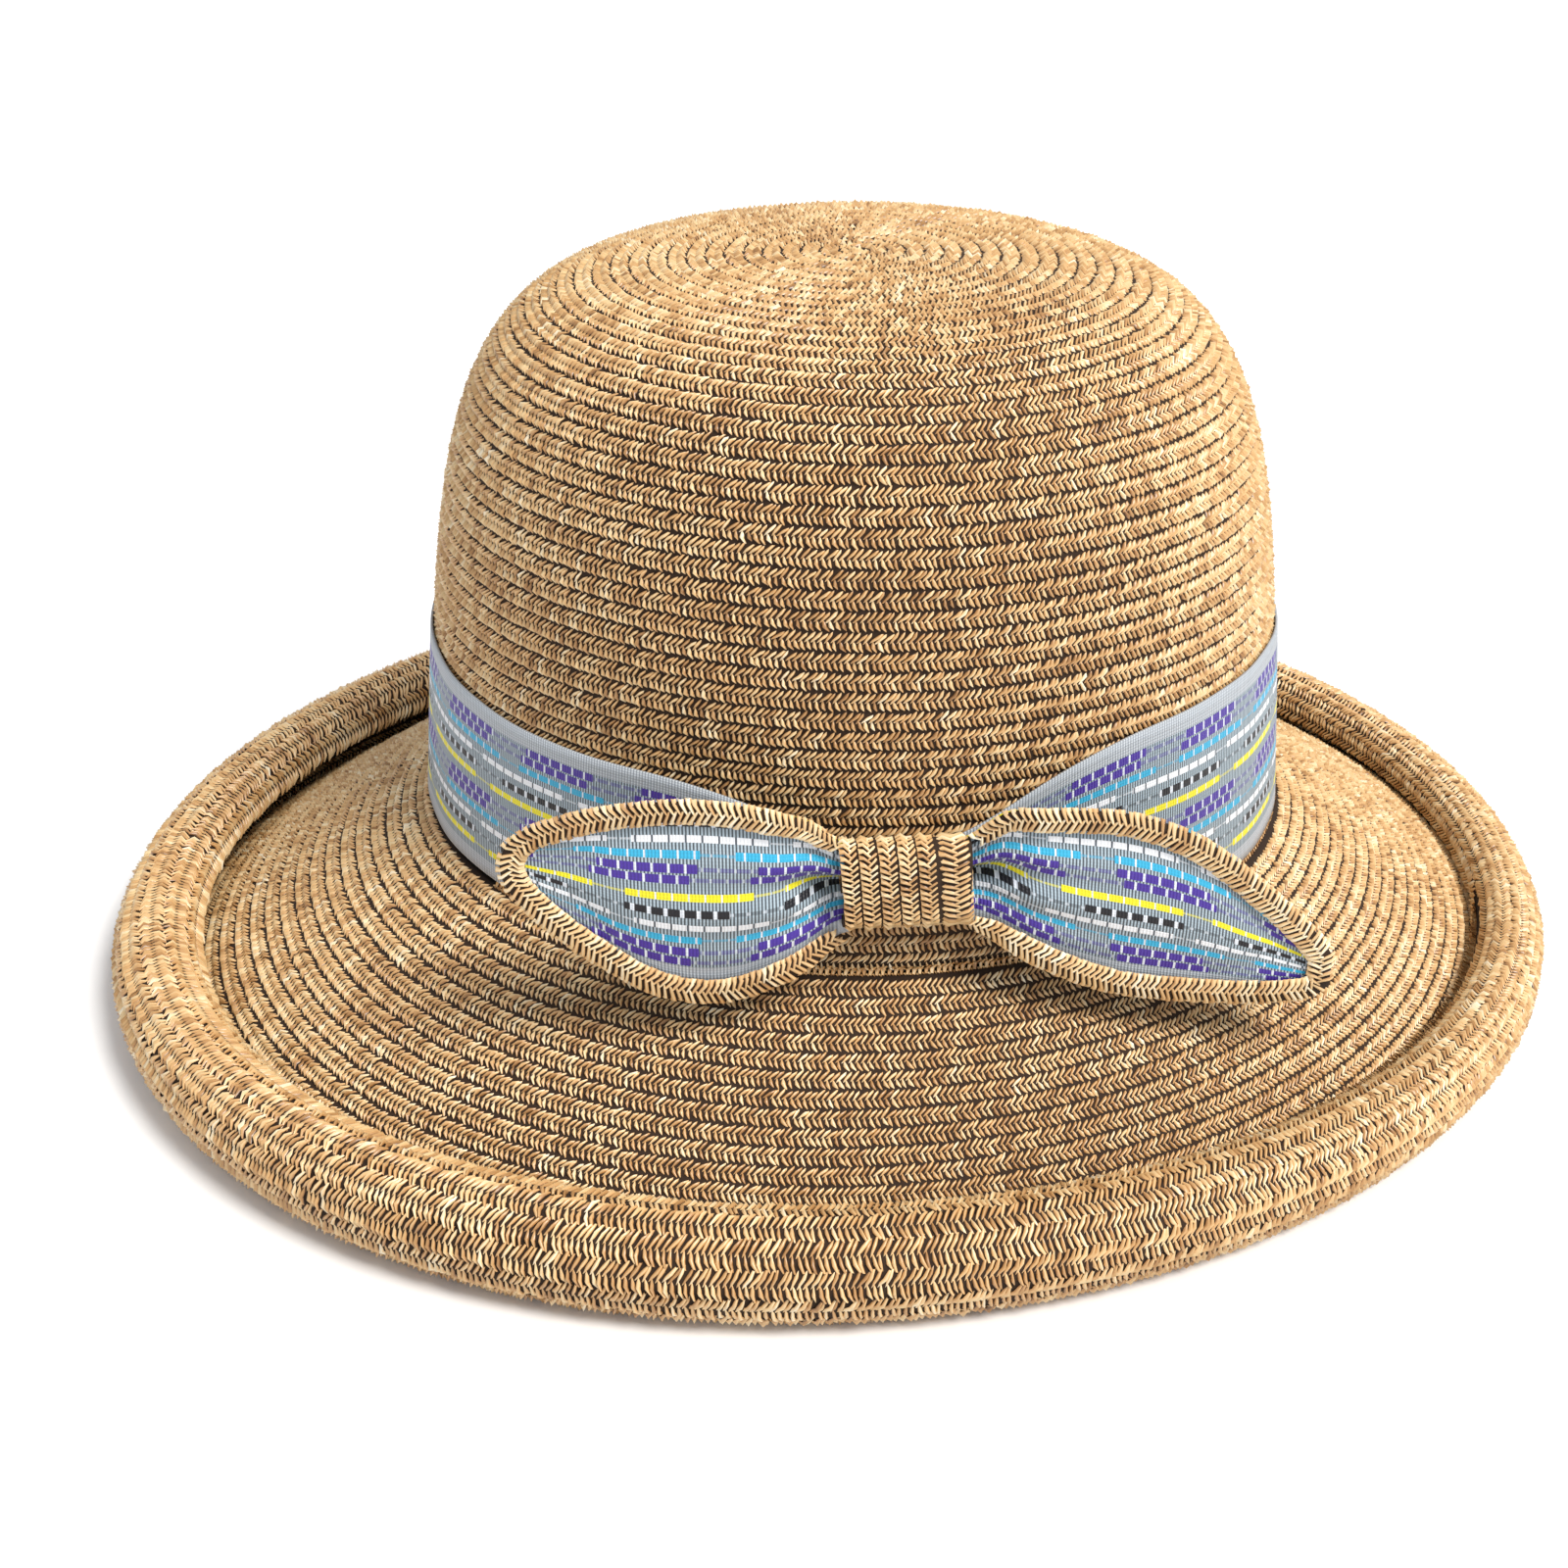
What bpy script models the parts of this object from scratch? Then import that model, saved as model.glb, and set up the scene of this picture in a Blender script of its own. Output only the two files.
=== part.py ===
"""A straw hat with a round crown, a sloping brim whose edge is rolled, a ribbon band and a bow of two leaves.

Metres, +Z up. The hat rests on its brim at Z = 0, the bow faces -Y and the origin is under the middle of the brim.
"""

import math

import bpy

# Straw and ribbon
STRAW_WALL = 0.002
RIBBON_WALL = 0.001
GAP = 0.0003

# Crown: half its width and depth where it meets the brim, its height above that joint, and the dome on its top
CROWN_HALF_WIDTH = 0.0952
CROWN_HALF_DEPTH = 0.0875
CROWN_HEIGHT = 0.1142
CROWN_DOME = 0.0040
CROWN_TAPER = 0.103
SHOULDER_POWER = 4.54
TIP_POWER = 6.0

# Brim: the joint with the crown above the floor, and the middle of the rolled edge from the crown's axis
JOINT_HEIGHT = 0.0420
JOINT_BEND = 0.0040
ROLL_REACH = 0.1491
ROLL_WIDER_LEFT = 0.0021
ROLL_WIDER_BACK = 0.0049
ROLL_OVAL = 0.0067
ROLL_SKEW = 0.0048
ROLL_RADIUS = 0.0093
ROLL_THICKER_LEFT = 0.0012
ROLL_THICKER_FRONT_BACK = 0.0009
LIP_ANGLE = 168.0

# Hatband
BAND_WIDTH = 0.0400
BAND_ABOVE_JOINT = 0.0006
BAND_TILT = 0.0028
BAND_TOP_DIP = 0.0143
BAND_TOP_DIP_POWER = 21
BAND_LOW_DIP = 0.0110
BAND_LOW_DIP_POWER = 14

# Bow: it is turned a little from the front, and its knot is a sleeve that holds the gathered leaves
BOW_TURN = 4.9
KNOT_ABOVE_JOINT = 0.0229
KNOT_WIDTH = 0.0254
KNOT_HEIGHT = 0.0192
KNOT_DEPTH = 0.0092
KNOT_CORNER = 0.0042
LEAF_STAND_OFF = 0.0034
LEAF_LIFT_RUN = 0.0140
LEAF_HEIGHT = 0.0440
LEFT_LEAF_LENGTH = 0.0772
RIGHT_LEAF_LENGTH = 0.0848
LEFT_LEAF_BEND = 0.250
RIGHT_LEAF_BEND = 1.500
EDGING_WIDTH = 0.0050
EDGING_THICKNESS = 0.0020
EDGING_TIP_INSET = 0.0075
LEAF_HEM = 0.0012
LEAF_PUFF = 0.0026
PLEAT_DEPTH = 0.0008
PLEAT_FADE = 0.0120

# How finely the round shapes are cut
SEGMENTS = 60
CROWN_RINGS = 15
BRIM_SLOPE_STEPS = 4
ROLL_STEP = 22.5
BAND_SEGMENTS = 120
BAND_STEPS = 2
LEAF_COLUMNS = 17
LEAF_ROWS = 9
KNOT_CORNER_STEPS = 4

# Outline of each leaf: distance from the knot's middle as a share of the leaf's length, then the upper and the
# lower edge as shares of the leaf's height, above and below the knot's middle
LEFT_LEAF = (
    (0.100, 0.125, -0.125),
    (0.166, 0.145, -0.145),
    (0.233, 0.335, -0.320),
    (0.324, 0.418, -0.434),
    (0.427, 0.461, -0.524),
    (0.531, 0.477, -0.534),
    (0.648, 0.461, -0.479),
    (0.764, 0.421, -0.354),
    (0.868, 0.357, -0.216),
    (0.945, 0.284, -0.082),
    (0.990, 0.186, 0.036),
    (1.000, 0.126, 0.096),
)
RIGHT_LEAF = (
    (0.094, 0.125, -0.125),
    (0.151, 0.145, -0.145),
    (0.212, 0.345, -0.250),
    (0.295, 0.375, -0.377),
    (0.390, 0.371, -0.502),
    (0.487, 0.346, -0.575),
    (0.600, 0.266, -0.620),
    (0.712, 0.132, -0.652),
    (0.812, -0.039, -0.675),
    (0.897, -0.198, -0.679),
    (0.958, -0.325, -0.666),
    (1.000, -0.434, -0.614),
)

STRAW_TAN = (0.52, 0.33, 0.16)
STRAW_LIGHT = (0.62, 0.43, 0.23)
RIBBON_BLUE = (0.32, 0.38, 0.55)


def clear_scene():
    for thing in list(bpy.data.objects):
        bpy.data.objects.remove(thing)


def cloth_material(name, colour, roughness):
    material = bpy.data.materials.new(name)
    material.use_nodes = True
    shader = material.node_tree.nodes["Principled BSDF"]
    shader.inputs["Base Color"].default_value = (*colour, 1.0)
    shader.inputs["Roughness"].default_value = roughness
    shader.inputs["Metallic"].default_value = 0.0
    return material


def skin(name, rows, material, around=False, along=False, caps=False, tip=None):
    """A mesh through rows of points. around joins each row's ends, along joins the last row to the first, caps fills
    the first and last rows, and tip closes the last row to one point."""
    across = len(rows[0])
    points = [point for row in rows for point in row]
    faces = []
    for i in range(len(rows) if along else len(rows) - 1):
        after = (i + 1) % len(rows)
        for j in range(across if around else across - 1):
            beside = (j + 1) % across
            faces.append((i * across + j, i * across + beside, after * across + beside, after * across + j))
    if caps:
        faces.append(tuple(range(across - 1, -1, -1)))
        faces.append(tuple(range((len(rows) - 1) * across, len(rows) * across)))
    if tip:
        points.append(tip)
        last = (len(rows) - 1) * across
        faces += [(last + j, last + (j + 1) % across, len(points) - 1) for j in range(across)]
    mesh = bpy.data.meshes.new(name)
    mesh.from_pydata(points, [], faces)
    mesh.shade_smooth()
    mesh.set_sharp_from_angle(angle=math.radians(40))
    mesh.materials.append(material)
    thing = bpy.data.objects.new(name, mesh)
    bpy.context.scene.collection.objects.link(thing)
    return thing


def thicken(thing, wall, side):
    solid = thing.modifiers.new("Wall", "SOLIDIFY")
    solid.thickness = wall
    solid.offset = side
    solid.use_even_offset = True


def table_value(rows, column, share):
    """A smooth curve through one column of a table whose first column is the share."""
    last = len(rows) - 1
    i = next((k for k in range(last) if share <= rows[k + 1][0]), last - 1)
    before, start, end, after = (rows[min(max(k, 0), last)] for k in (i - 1, i, i + 1, i + 2))
    part = (share - start[0]) / (end[0] - start[0])
    rise_in = (end[column] - before[column]) / (end[0] - before[0]) * (end[0] - start[0])
    rise_out = (after[column] - start[column]) / (after[0] - start[0]) * (end[0] - start[0])
    square, cube = part**2, part**3
    return (
        (2 * cube - 3 * square + 1) * start[column]
        + (cube - 2 * square + part) * rise_in
        + (3 * square - 2 * cube) * end[column]
        + (cube - square) * rise_out
    )


def ease(share):
    share = min(max(share, 0.0), 1.0)
    return share * share * (3 - 2 * share)


def turns(count=SEGMENTS):
    return [math.tau * k / count for k in range(count)]


def crown_fullness(rise):
    """How wide the crown still is at a share of its height, before its taper."""
    return max(1 - rise**SHOULDER_POWER, 0.0) ** (1 / TIP_POWER)


def crown_point(turn, rise, outwards=0.0):
    """A point of the crown at a turn round the hat and a share of the height above the joint."""
    fullness = crown_fullness(rise)
    share = (1 - CROWN_TAPER * rise) * fullness
    return (
        (CROWN_HALF_WIDTH * share + outwards) * math.cos(turn),
        (CROWN_HALF_DEPTH * share + outwards) * math.sin(turn),
        JOINT_HEIGHT + CROWN_HEIGHT * rise + CROWN_DOME * (1 - fullness**2),
    )


def crown_rises():
    """The crown's rings as shares of its height, evenly spaced along its outline from the joint to near the tip."""
    fine = [1 - (1 - k / 4000) ** 4 for k in range(4001)]
    outline = [crown_point(0.0, rise) for rise in fine]
    lengths = [0.0]
    for low, high in zip(outline, outline[1:]):
        lengths.append(lengths[-1] + math.dist(low, high))
    wanted = [lengths[-1] * k / CROWN_RINGS for k in range(CROWN_RINGS)]
    return [fine[next(k for k, length in enumerate(lengths) if length >= goal)] for goal in wanted]


def make_crown(straw):
    rows = [[crown_point(turn, rise) for turn in turns()] for rise in crown_rises()]
    rows[0] = [(x, y, z + GAP) for x, y, z in rows[0]]
    crown = skin("crown", rows, straw, around=True, tip=(0.0, 0.0, JOINT_HEIGHT + CROWN_HEIGHT + CROWN_DOME))
    thicken(crown, STRAW_WALL, -1)
    return crown


def roll_reach(turn):
    return (
        ROLL_REACH
        - ROLL_WIDER_LEFT * math.cos(turn)
        + ROLL_WIDER_BACK * math.sin(turn)
        + ROLL_OVAL * math.cos(2 * turn)
        + ROLL_SKEW * math.sin(2 * turn)
    )


def roll_radius(turn):
    return ROLL_RADIUS - ROLL_THICKER_LEFT * math.cos(turn) - ROLL_THICKER_FRONT_BACK * math.cos(2 * turn)


def joint_reach(turn):
    return math.hypot(CROWN_HALF_WIDTH * math.cos(turn), CROWN_HALF_DEPTH * math.sin(turn))


def brim_section(turn):
    """The brim's underside at one turn round the hat, from the joint to the lip, as (reach, height)."""
    radius = roll_radius(turn)
    middle = roll_reach(turn)
    height = radius * math.cos(math.radians(ROLL_STEP / 2))
    start = joint_reach(turn) - STRAW_WALL
    across, down = middle - start, JOINT_HEIGHT - JOINT_BEND - height
    slope = math.atan2(down, across) + math.asin(radius / math.hypot(across, down))
    touch = -math.pi / 2 - slope
    end_of_slope = (middle + radius * math.cos(touch), height + radius * math.sin(touch))
    bend = (start + JOINT_BEND * 0.2, JOINT_HEIGHT - JOINT_BEND)
    section = [(start, JOINT_HEIGHT), (start, JOINT_HEIGHT - JOINT_BEND / 2), bend]
    for k in range(1, BRIM_SLOPE_STEPS + 1):
        part = k / BRIM_SLOPE_STEPS
        section.append(
            (bend[0] + (end_of_slope[0] - bend[0]) * part, bend[1] + (end_of_slope[1] - bend[1]) * part)
        )
    angle = -90 - ROLL_STEP / 2
    while angle < LIP_ANGLE - ROLL_STEP / 2:
        section.append(
            (middle + radius * math.cos(math.radians(angle)), height + radius * math.sin(math.radians(angle)))
        )
        angle += ROLL_STEP
    lip = math.radians(LIP_ANGLE)
    section.append((middle + radius * math.cos(lip), height + radius * math.sin(lip)))
    return section


def make_brim(straw):
    sections = [(turn, brim_section(turn)) for turn in turns()]
    rows = [
        [(section[k][0] * math.cos(turn), section[k][0] * math.sin(turn), section[k][1]) for turn, section in sections]
        for k in range(len(sections[0][1]))
    ]
    brim = skin("brim", rows[::-1], straw, around=True)
    thicken(brim, STRAW_WALL, 1)
    return brim


def bow_direction():
    return math.radians(BOW_TURN - 90)


def band_edges(turn):
    """Heights of the band's lower and upper edge above the joint: gathered under the knot, and higher to its right."""
    beside = turn - bow_direction()
    facing = max(0.0, math.cos(beside))
    low = BAND_ABOVE_JOINT + BAND_LOW_DIP * facing**BAND_LOW_DIP_POWER
    tilt = 2 * BAND_TILT * math.sin(beside) * facing
    return low, BAND_ABOVE_JOINT + BAND_WIDTH + tilt - BAND_TOP_DIP * facing**BAND_TOP_DIP_POWER


def make_hatband(ribbon):
    edges = [(turn, *band_edges(turn)) for turn in turns(BAND_SEGMENTS)]
    rows = [
        [crown_point(turn, (low + (high - low) * k / BAND_STEPS) / CROWN_HEIGHT, GAP) for turn, low, high in edges]
        for k in range(BAND_STEPS + 1)
    ]
    band = skin("hatband", rows, ribbon, around=True)
    thicken(band, RIBBON_WALL, 1)
    return band


def bow_place(across, up, out):
    """A point of the bow: across to the right, up from the knot's middle and out from the hatband."""
    turn = bow_direction()
    seat = crown_point(turn, (KNOT_ABOVE_JOINT - KNOT_HEIGHT / 2) / CROWN_HEIGHT, 2 * GAP + RIBBON_WALL)
    reach = math.hypot(seat[0], seat[1]) + out
    return (
        reach * math.cos(turn) - across * math.sin(turn),
        reach * math.sin(turn) + across * math.cos(turn),
        JOINT_HEIGHT + KNOT_ABOVE_JOINT + up,
    )


def knot_ring(across, inset):
    """One end of the knot's outer or inner outline, a rectangle with round corners."""
    half_up = KNOT_HEIGHT / 2 - inset
    half_out = KNOT_DEPTH / 2 - inset
    corner = max(KNOT_CORNER - inset, STRAW_WALL / 4)
    ring = []
    for quarter, (side_up, side_out) in enumerate(((1, 1), (-1, 1), (-1, -1), (1, -1))):
        for k in range(KNOT_CORNER_STEPS + 1):
            angle = math.pi / 2 * (quarter + k / KNOT_CORNER_STEPS)
            ring.append(
                bow_place(
                    across,
                    side_up * (half_up - corner) + corner * math.cos(angle),
                    KNOT_DEPTH / 2 + side_out * (half_out - corner) + corner * math.sin(angle),
                )
            )
    return ring


def make_knot(straw):
    half = KNOT_WIDTH / 2
    rows = [knot_ring(-half, 0), knot_ring(half, 0), knot_ring(half, STRAW_WALL), knot_ring(-half, STRAW_WALL)]
    return skin("bow_knot", rows, straw, around=True, along=True)


def leaf_depth(across, bend):
    """How far a leaf's edging stands out from the hatband: it lifts as it leaves the knot and then bends back."""
    beyond = max(across - KNOT_WIDTH / 2, 0.0)
    return KNOT_DEPTH / 2 + LEAF_STAND_OFF * ease(beyond / LEAF_LIFT_RUN) - beyond**2 / (2 * bend)


def leaf_edges(table, share):
    return LEAF_HEIGHT * table_value(table, 1, share), LEAF_HEIGHT * table_value(table, 2, share)


def inner_edges(table, share, length):
    """The leaf's upper and lower edge moved in by the edging's width, square to each edge."""
    step = 0.01
    top, low = leaf_edges(table, share)
    top_on, low_on = leaf_edges(table, min(share + step, 1.0))
    run = length * (min(share + step, 1.0) - share)
    top_slope = math.hypot(run, top_on - top) / run
    low_slope = math.hypot(run, low_on - low) / run
    return top - EDGING_WIDTH * min(top_slope, 1.8), low + EDGING_WIDTH * min(low_slope, 1.8)


def leaf_shares(table, length, end=1.0):
    """Shares of a leaf's length where it is cut: inside the knot, at the knot's mouth and on to the end."""
    first = table[0][0]
    mouth = (KNOT_WIDTH / 2 + 2 * GAP) / length
    beyond = [(1 - math.cos(math.pi * k / LEAF_COLUMNS)) / 2 for k in range(LEAF_COLUMNS + 1)]
    return [first] + [mouth + (end - mouth) * part for part in beyond]


def make_edging(name, side, table, length, bend, straw):
    """The straw braid round a leaf, from inside the knot, round the leaf's tip and back into the knot."""
    inner_end = 1 - EDGING_TIP_INSET / length
    pairs = []
    for edge in (0, 1):
        run = []
        for outer_share, inner_share in zip(leaf_shares(table, length), leaf_shares(table, length, inner_end)):
            inner = inner_edges(table, inner_share, length)
            middle = (inner[0] + inner[1]) / 2
            kept = max(inner[0], middle + GAP) if edge == 0 else min(inner[1], middle - GAP)
            run.append(((outer_share * length, leaf_edges(table, outer_share)[edge]), (inner_share * length, kept)))
        pairs.append(run)
    rows = []
    for (outer_across, outer_up), (inner_across, inner_up) in pairs[0] + pairs[1][::-1]:
        outer_out = leaf_depth(outer_across, bend)
        inner_out = leaf_depth(inner_across, bend)
        rows.append(
            [
                bow_place(side * outer_across, outer_up, outer_out),
                bow_place(side * outer_across, outer_up, outer_out + EDGING_THICKNESS),
                bow_place(side * inner_across, inner_up, inner_out + EDGING_THICKNESS),
                bow_place(side * inner_across, inner_up, inner_out),
            ]
        )
    if side < 0:
        rows = [row[::-1] for row in rows]
    return skin(name, rows, straw, around=True, caps=True)


def make_leaf(name, side, table, length, bend, ribbon):
    """The ribbon inside the edging: it puffs out a little in the middle and is pleated where the knot gathers it."""
    rows = []
    for share in leaf_shares(table, length, 1 - EDGING_TIP_INSET / length / 2):
        top, low = leaf_edges(table, share)
        top, low = top - LEAF_HEM, low + LEAF_HEM
        inner_top, inner_low = inner_edges(table, share, length)
        across = share * length
        opening = max(inner_top - inner_low, 0.0) / (top - low)
        opening *= ease((length - 1.4 * EDGING_TIP_INSET - across) / LEAF_LIFT_RUN)
        row = []
        for j in range(LEAF_ROWS):
            place = 2 * j / (LEAF_ROWS - 1) - 1
            clear = max(0.0, 1 - (place / max(opening * 0.8, 0.01)) ** 2) ** 2
            puff = LEAF_PUFF * opening * clear * ease((across - KNOT_WIDTH / 2) / LEAF_LIFT_RUN)
            gather = math.exp(-max(across - KNOT_WIDTH / 2, 0.0) / PLEAT_FADE)
            pleat = PLEAT_DEPTH * gather * clear * math.cos(3 * math.pi * place)
            up = (top + low) / 2 + (top - low) / 2 * place
            row.append(bow_place(side * across, up, leaf_depth(across, bend) - GAP + puff - abs(pleat)))
        rows.append(row if side < 0 else row[::-1])
    leaf = skin(name, rows, ribbon)
    thicken(leaf, RIBBON_WALL, -1)
    return leaf


def make_bow(straw, ribbon):
    pieces = [make_knot(straw)]
    sides = (
        ("left", -1, LEFT_LEAF, LEFT_LEAF_LENGTH, LEFT_LEAF_BEND),
        ("right", 1, RIGHT_LEAF, RIGHT_LEAF_LENGTH, RIGHT_LEAF_BEND),
    )
    for word, side, table, length, bend in sides:
        pieces.append(make_leaf(f"{word}_bow_leaf", side, table, length, bend, ribbon))
        pieces.append(make_edging(f"{word}_leaf_edging", side, table, length, bend, straw))
    return pieces


def brim_middle():
    """The middle of the brim's outline, seen from above, measured from the crown's axis."""
    rim = [(roll_reach(turn) + roll_radius(turn), turn) for turn in turns()]
    across = [reach * math.cos(turn) for reach, turn in rim]
    along = [reach * math.sin(turn) for reach, turn in rim]
    return (max(across) + min(across)) / 2, (max(along) + min(along)) / 2


def main():
    clear_scene()
    straw = cloth_material("straw braid", STRAW_TAN, 0.75)
    light_straw = cloth_material("straw trim", STRAW_LIGHT, 0.75)
    ribbon = cloth_material("woven ribbon", RIBBON_BLUE, 0.6)
    pieces = [make_crown(straw), make_brim(straw), make_hatband(ribbon)] + make_bow(light_straw, ribbon)
    axis = bpy.data.objects.new("crown_axis", None)
    bpy.context.scene.collection.objects.link(axis)
    middle = brim_middle()
    axis.location = (-middle[0], -middle[1], 0.0)
    for piece in pieces:
        piece.parent = axis


main()
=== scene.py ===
"""Straw hat: an add-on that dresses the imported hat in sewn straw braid, woven ribbon and a soft studio.

Metres, +Z up, the bow faces -Y. Every length is measured from the crown's axis.
"""

import math
from functools import partial

import bpy
import numpy as np
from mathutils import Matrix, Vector


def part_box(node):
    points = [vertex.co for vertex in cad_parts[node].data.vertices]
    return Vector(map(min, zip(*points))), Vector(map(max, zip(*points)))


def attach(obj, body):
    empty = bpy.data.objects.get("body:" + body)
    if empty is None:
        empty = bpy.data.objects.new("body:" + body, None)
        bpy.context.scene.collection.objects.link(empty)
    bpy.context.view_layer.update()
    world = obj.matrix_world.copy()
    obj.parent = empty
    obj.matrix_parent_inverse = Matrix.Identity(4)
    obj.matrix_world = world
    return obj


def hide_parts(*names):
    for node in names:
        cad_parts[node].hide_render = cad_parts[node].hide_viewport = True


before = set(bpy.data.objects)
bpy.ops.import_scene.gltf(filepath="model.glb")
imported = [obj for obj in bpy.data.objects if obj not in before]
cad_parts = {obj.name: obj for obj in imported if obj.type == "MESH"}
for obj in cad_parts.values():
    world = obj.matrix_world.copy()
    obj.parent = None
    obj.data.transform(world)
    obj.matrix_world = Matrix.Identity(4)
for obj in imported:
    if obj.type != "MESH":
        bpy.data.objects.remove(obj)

bl_info = {
    "name": "Straw hat",
    "version": (1, 0, 0),
    "blender": (4, 5, 0),
    "location": "3D View > Sidebar > Straw hat",
    "description": "Builds a sewn straw hat with a ribbon band and a bow",
    "category": "Object",
}

MM = 0.001
SMALL = 1e-4

# One object holds no more stitches than this, so that none gets too many triangles
MOST_STITCHES = 12000

# How the straw's tone varies: its lowest value, its spread, its drift and the length of row for one drift
LOW_TONE = 0.26
TONE_SPREAD = 0.56
TONE_DRIFT = 0.12
DRIFT_RUN = 0.03

# How much single strands and their fibres differ in tone, and how much painted shade darkens each strand's
# sides
STRAND_SPREAD = 0.30
FIBRE_SPREAD = 0.30
PAINTED_SIDE_SHADE = 0.38

# Random turn of each stitch in radians, in the sewn rows and in the plait
LOOP_JITTER = 0.14
PLAIT_JITTER = 0.06

# Where the brim's upper side ends inside the roll, from the roll's outermost point
SLOPE_END = math.radians(-40)

# How far the braid runs on under the ribbon, and how far a leaf's ribbon stays inside the leaf's outline
UNDER_BAND = 5 * MM
LEAF_HEM = 1.2 * MM

# Outline of each leaf of the bow: distance from the knot's middle as a share of the leaf's length, then the
# upper and the lower edge as shares of the leaf's height
LEFT_LEAF = (
    (0.100, 0.205, -0.270),
    (0.166, 0.235, -0.295),
    (0.233, 0.345, -0.385),
    (0.324, 0.418, -0.455),
    (0.427, 0.461, -0.524),
    (0.531, 0.477, -0.534),
    (0.648, 0.461, -0.479),
    (0.764, 0.421, -0.354),
    (0.868, 0.357, -0.216),
    (0.945, 0.284, -0.082),
    (0.990, 0.186, 0.036),
    (1.000, 0.126, 0.096),
)
RIGHT_LEAF = (
    (0.094, 0.205, -0.235),
    (0.151, 0.240, -0.255),
    (0.212, 0.350, -0.315),
    (0.295, 0.378, -0.405),
    (0.390, 0.371, -0.502),
    (0.487, 0.346, -0.575),
    (0.600, 0.266, -0.620),
    (0.712, 0.132, -0.652),
    (0.812, -0.039, -0.675),
    (0.897, -0.198, -0.679),
    (0.958, -0.325, -0.666),
    (1.000, -0.434, -0.614),
)

# Turns of braid round the knot: its middle to the right and its width in mm, and how far it leans over its
# neighbour
KNOT_TURNS = (
    (-10.5, 3.5, 0.30),
    (-6.9, 3.5, 0.30),
    (-3.2, 3.5, 0.30),
    (0.5, 3.5, 0.30),
    (4.2, 3.5, 0.30),
    (9.3, 5.9, 0.05),
)

# Stripes of the ribbon in mm from its repeat's start: from, to, colour, colour of the ticks between its
# dashes, dash pitch, filled share, shift of the dashes, start of the strong dashes and their share of a group
STRIPES = (
    (0.2, 1.9, "#432896", "#dfe5ee", 3.1, 0.84, 0.0, 0.05, 0.62),
    (2.3, 4.0, "#432896", "#dfe5ee", 3.1, 0.84, 0.5, 0.10, 0.62),
    (4.9, 6.3, "#2fa9d2", "#dfe5ee", 3.1, 0.88, 0.1, 0.12, 0.78),
    (7.6, 8.9, "#eef1f6", "#4c545f", 3.1, 0.88, 0.6, 0.55, 0.85),
    (10.4, 11.9, "#0b0d18", "#dfe5ee", 3.1, 0.74, 0.2, 0.30, 0.66),
    (13.4, 14.8, "#ece01c", "#dfe5ee", 3.1, 0.90, 0.7, 0.45, 0.80),
)

# Width of the ribbon's selvedge, width of its repeat of stripes and length of a group of dashes, in mm
SELVEDGE = 3.6
REPEAT = 16.4
GROUP = 30.0

# One stitch of the sewn braid, two strands that meet like an arrow head and point back along the row: across
# in rows, along in stitches, half the width in stitches, height of the crest and drop of the sides in mm
LOOP = (
    (
        (0.50, 1.10, 0.24, -0.20, 0.35),
        (0.27, 0.46, 0.37, 0.98, 0.85),
        (-0.06, -0.56, 0.25, 0.00, 0.40),
    ),
    (
        (-0.50, 0.62, 0.22, -0.20, 0.35),
        (-0.27, 0.06, 0.35, 0.88, 0.85),
        (0.04, -0.10, 0.24, 0.02, 0.40),
    ),
)

# One stitch of the plait round the bow, two strands that cross at its middle, half a stitch apart
PLAIT = (
    (
        (0.53, 0.46, 0.50, -0.30, 0.25),
        (0.33, 0.26, 0.34, 0.70, 0.60),
        (-0.08, -0.66, 0.25, 0.30, 0.45),
    ),
    (
        (-0.53, 0.96, 0.50, -0.30, 0.25),
        (-0.33, 0.76, 0.34, 0.70, 0.60),
        (0.08, -0.16, 0.25, 0.30, 0.45),
    ),
)


def length(name, description, default):
    return bpy.props.FloatProperty(
        name=name,
        description=description,
        default=default,
        unit="LENGTH",
        subtype="DISTANCE",
        precision=5,
    )


def number(name, description, default):
    return bpy.props.FloatProperty(name=name, description=description, default=default)


def angle(name, description, degrees):
    return bpy.props.FloatProperty(
        name=name, description=description, default=math.radians(degrees), unit="ROTATION", subtype="ANGLE"
    )


class CrownSettings(bpy.types.PropertyGroup):
    half_width: length("Half width", "Half the crown's width where it meets the brim", 0.0952)
    half_depth: length("Half depth", "Half the crown's depth where it meets the brim", 0.0875)
    height: length("Height", "Height of the crown above the brim, without its dome", 0.1142)
    dome: length("Dome", "Height of the dome on the crown's top", 0.0040)
    taper: number("Taper", "How much narrower the crown gets towards its top", 0.103)
    shoulder: number("Shoulder", "How late the crown turns in, as a power", 4.54)
    tip: number("Tip", "How flat the crown's top is, as a power", 6.0)


class BrimSettings(bpy.types.PropertyGroup):
    joint_height: length("Joint height", "Height of the joint of crown and brim above the floor", 0.0420)
    roll_reach: length("Roll reach", "Mean distance of the roll's middle from the crown's axis", 0.1491)
    wider_left: length("Wider left", "How much further the brim reaches on the left", 0.0021)
    wider_back: length("Wider back", "How much further the brim reaches at the back", 0.0049)
    oval: length("Oval", "How much the brim is stretched sideways", 0.0067)
    skew: length("Skew", "How much the brim is stretched along one diagonal", 0.0048)
    roll_radius: length("Roll radius", "Mean radius of the rolled edge", 0.0093)
    thicker_left: length("Thicker left", "How much thicker the roll is on the left", 0.0012)
    thicker_front: length("Thicker front", "How much thicker the roll is at front and back", 0.0009)
    lip: angle("Lip", "Where the roll ends, from its outermost point", 168.0)


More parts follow.
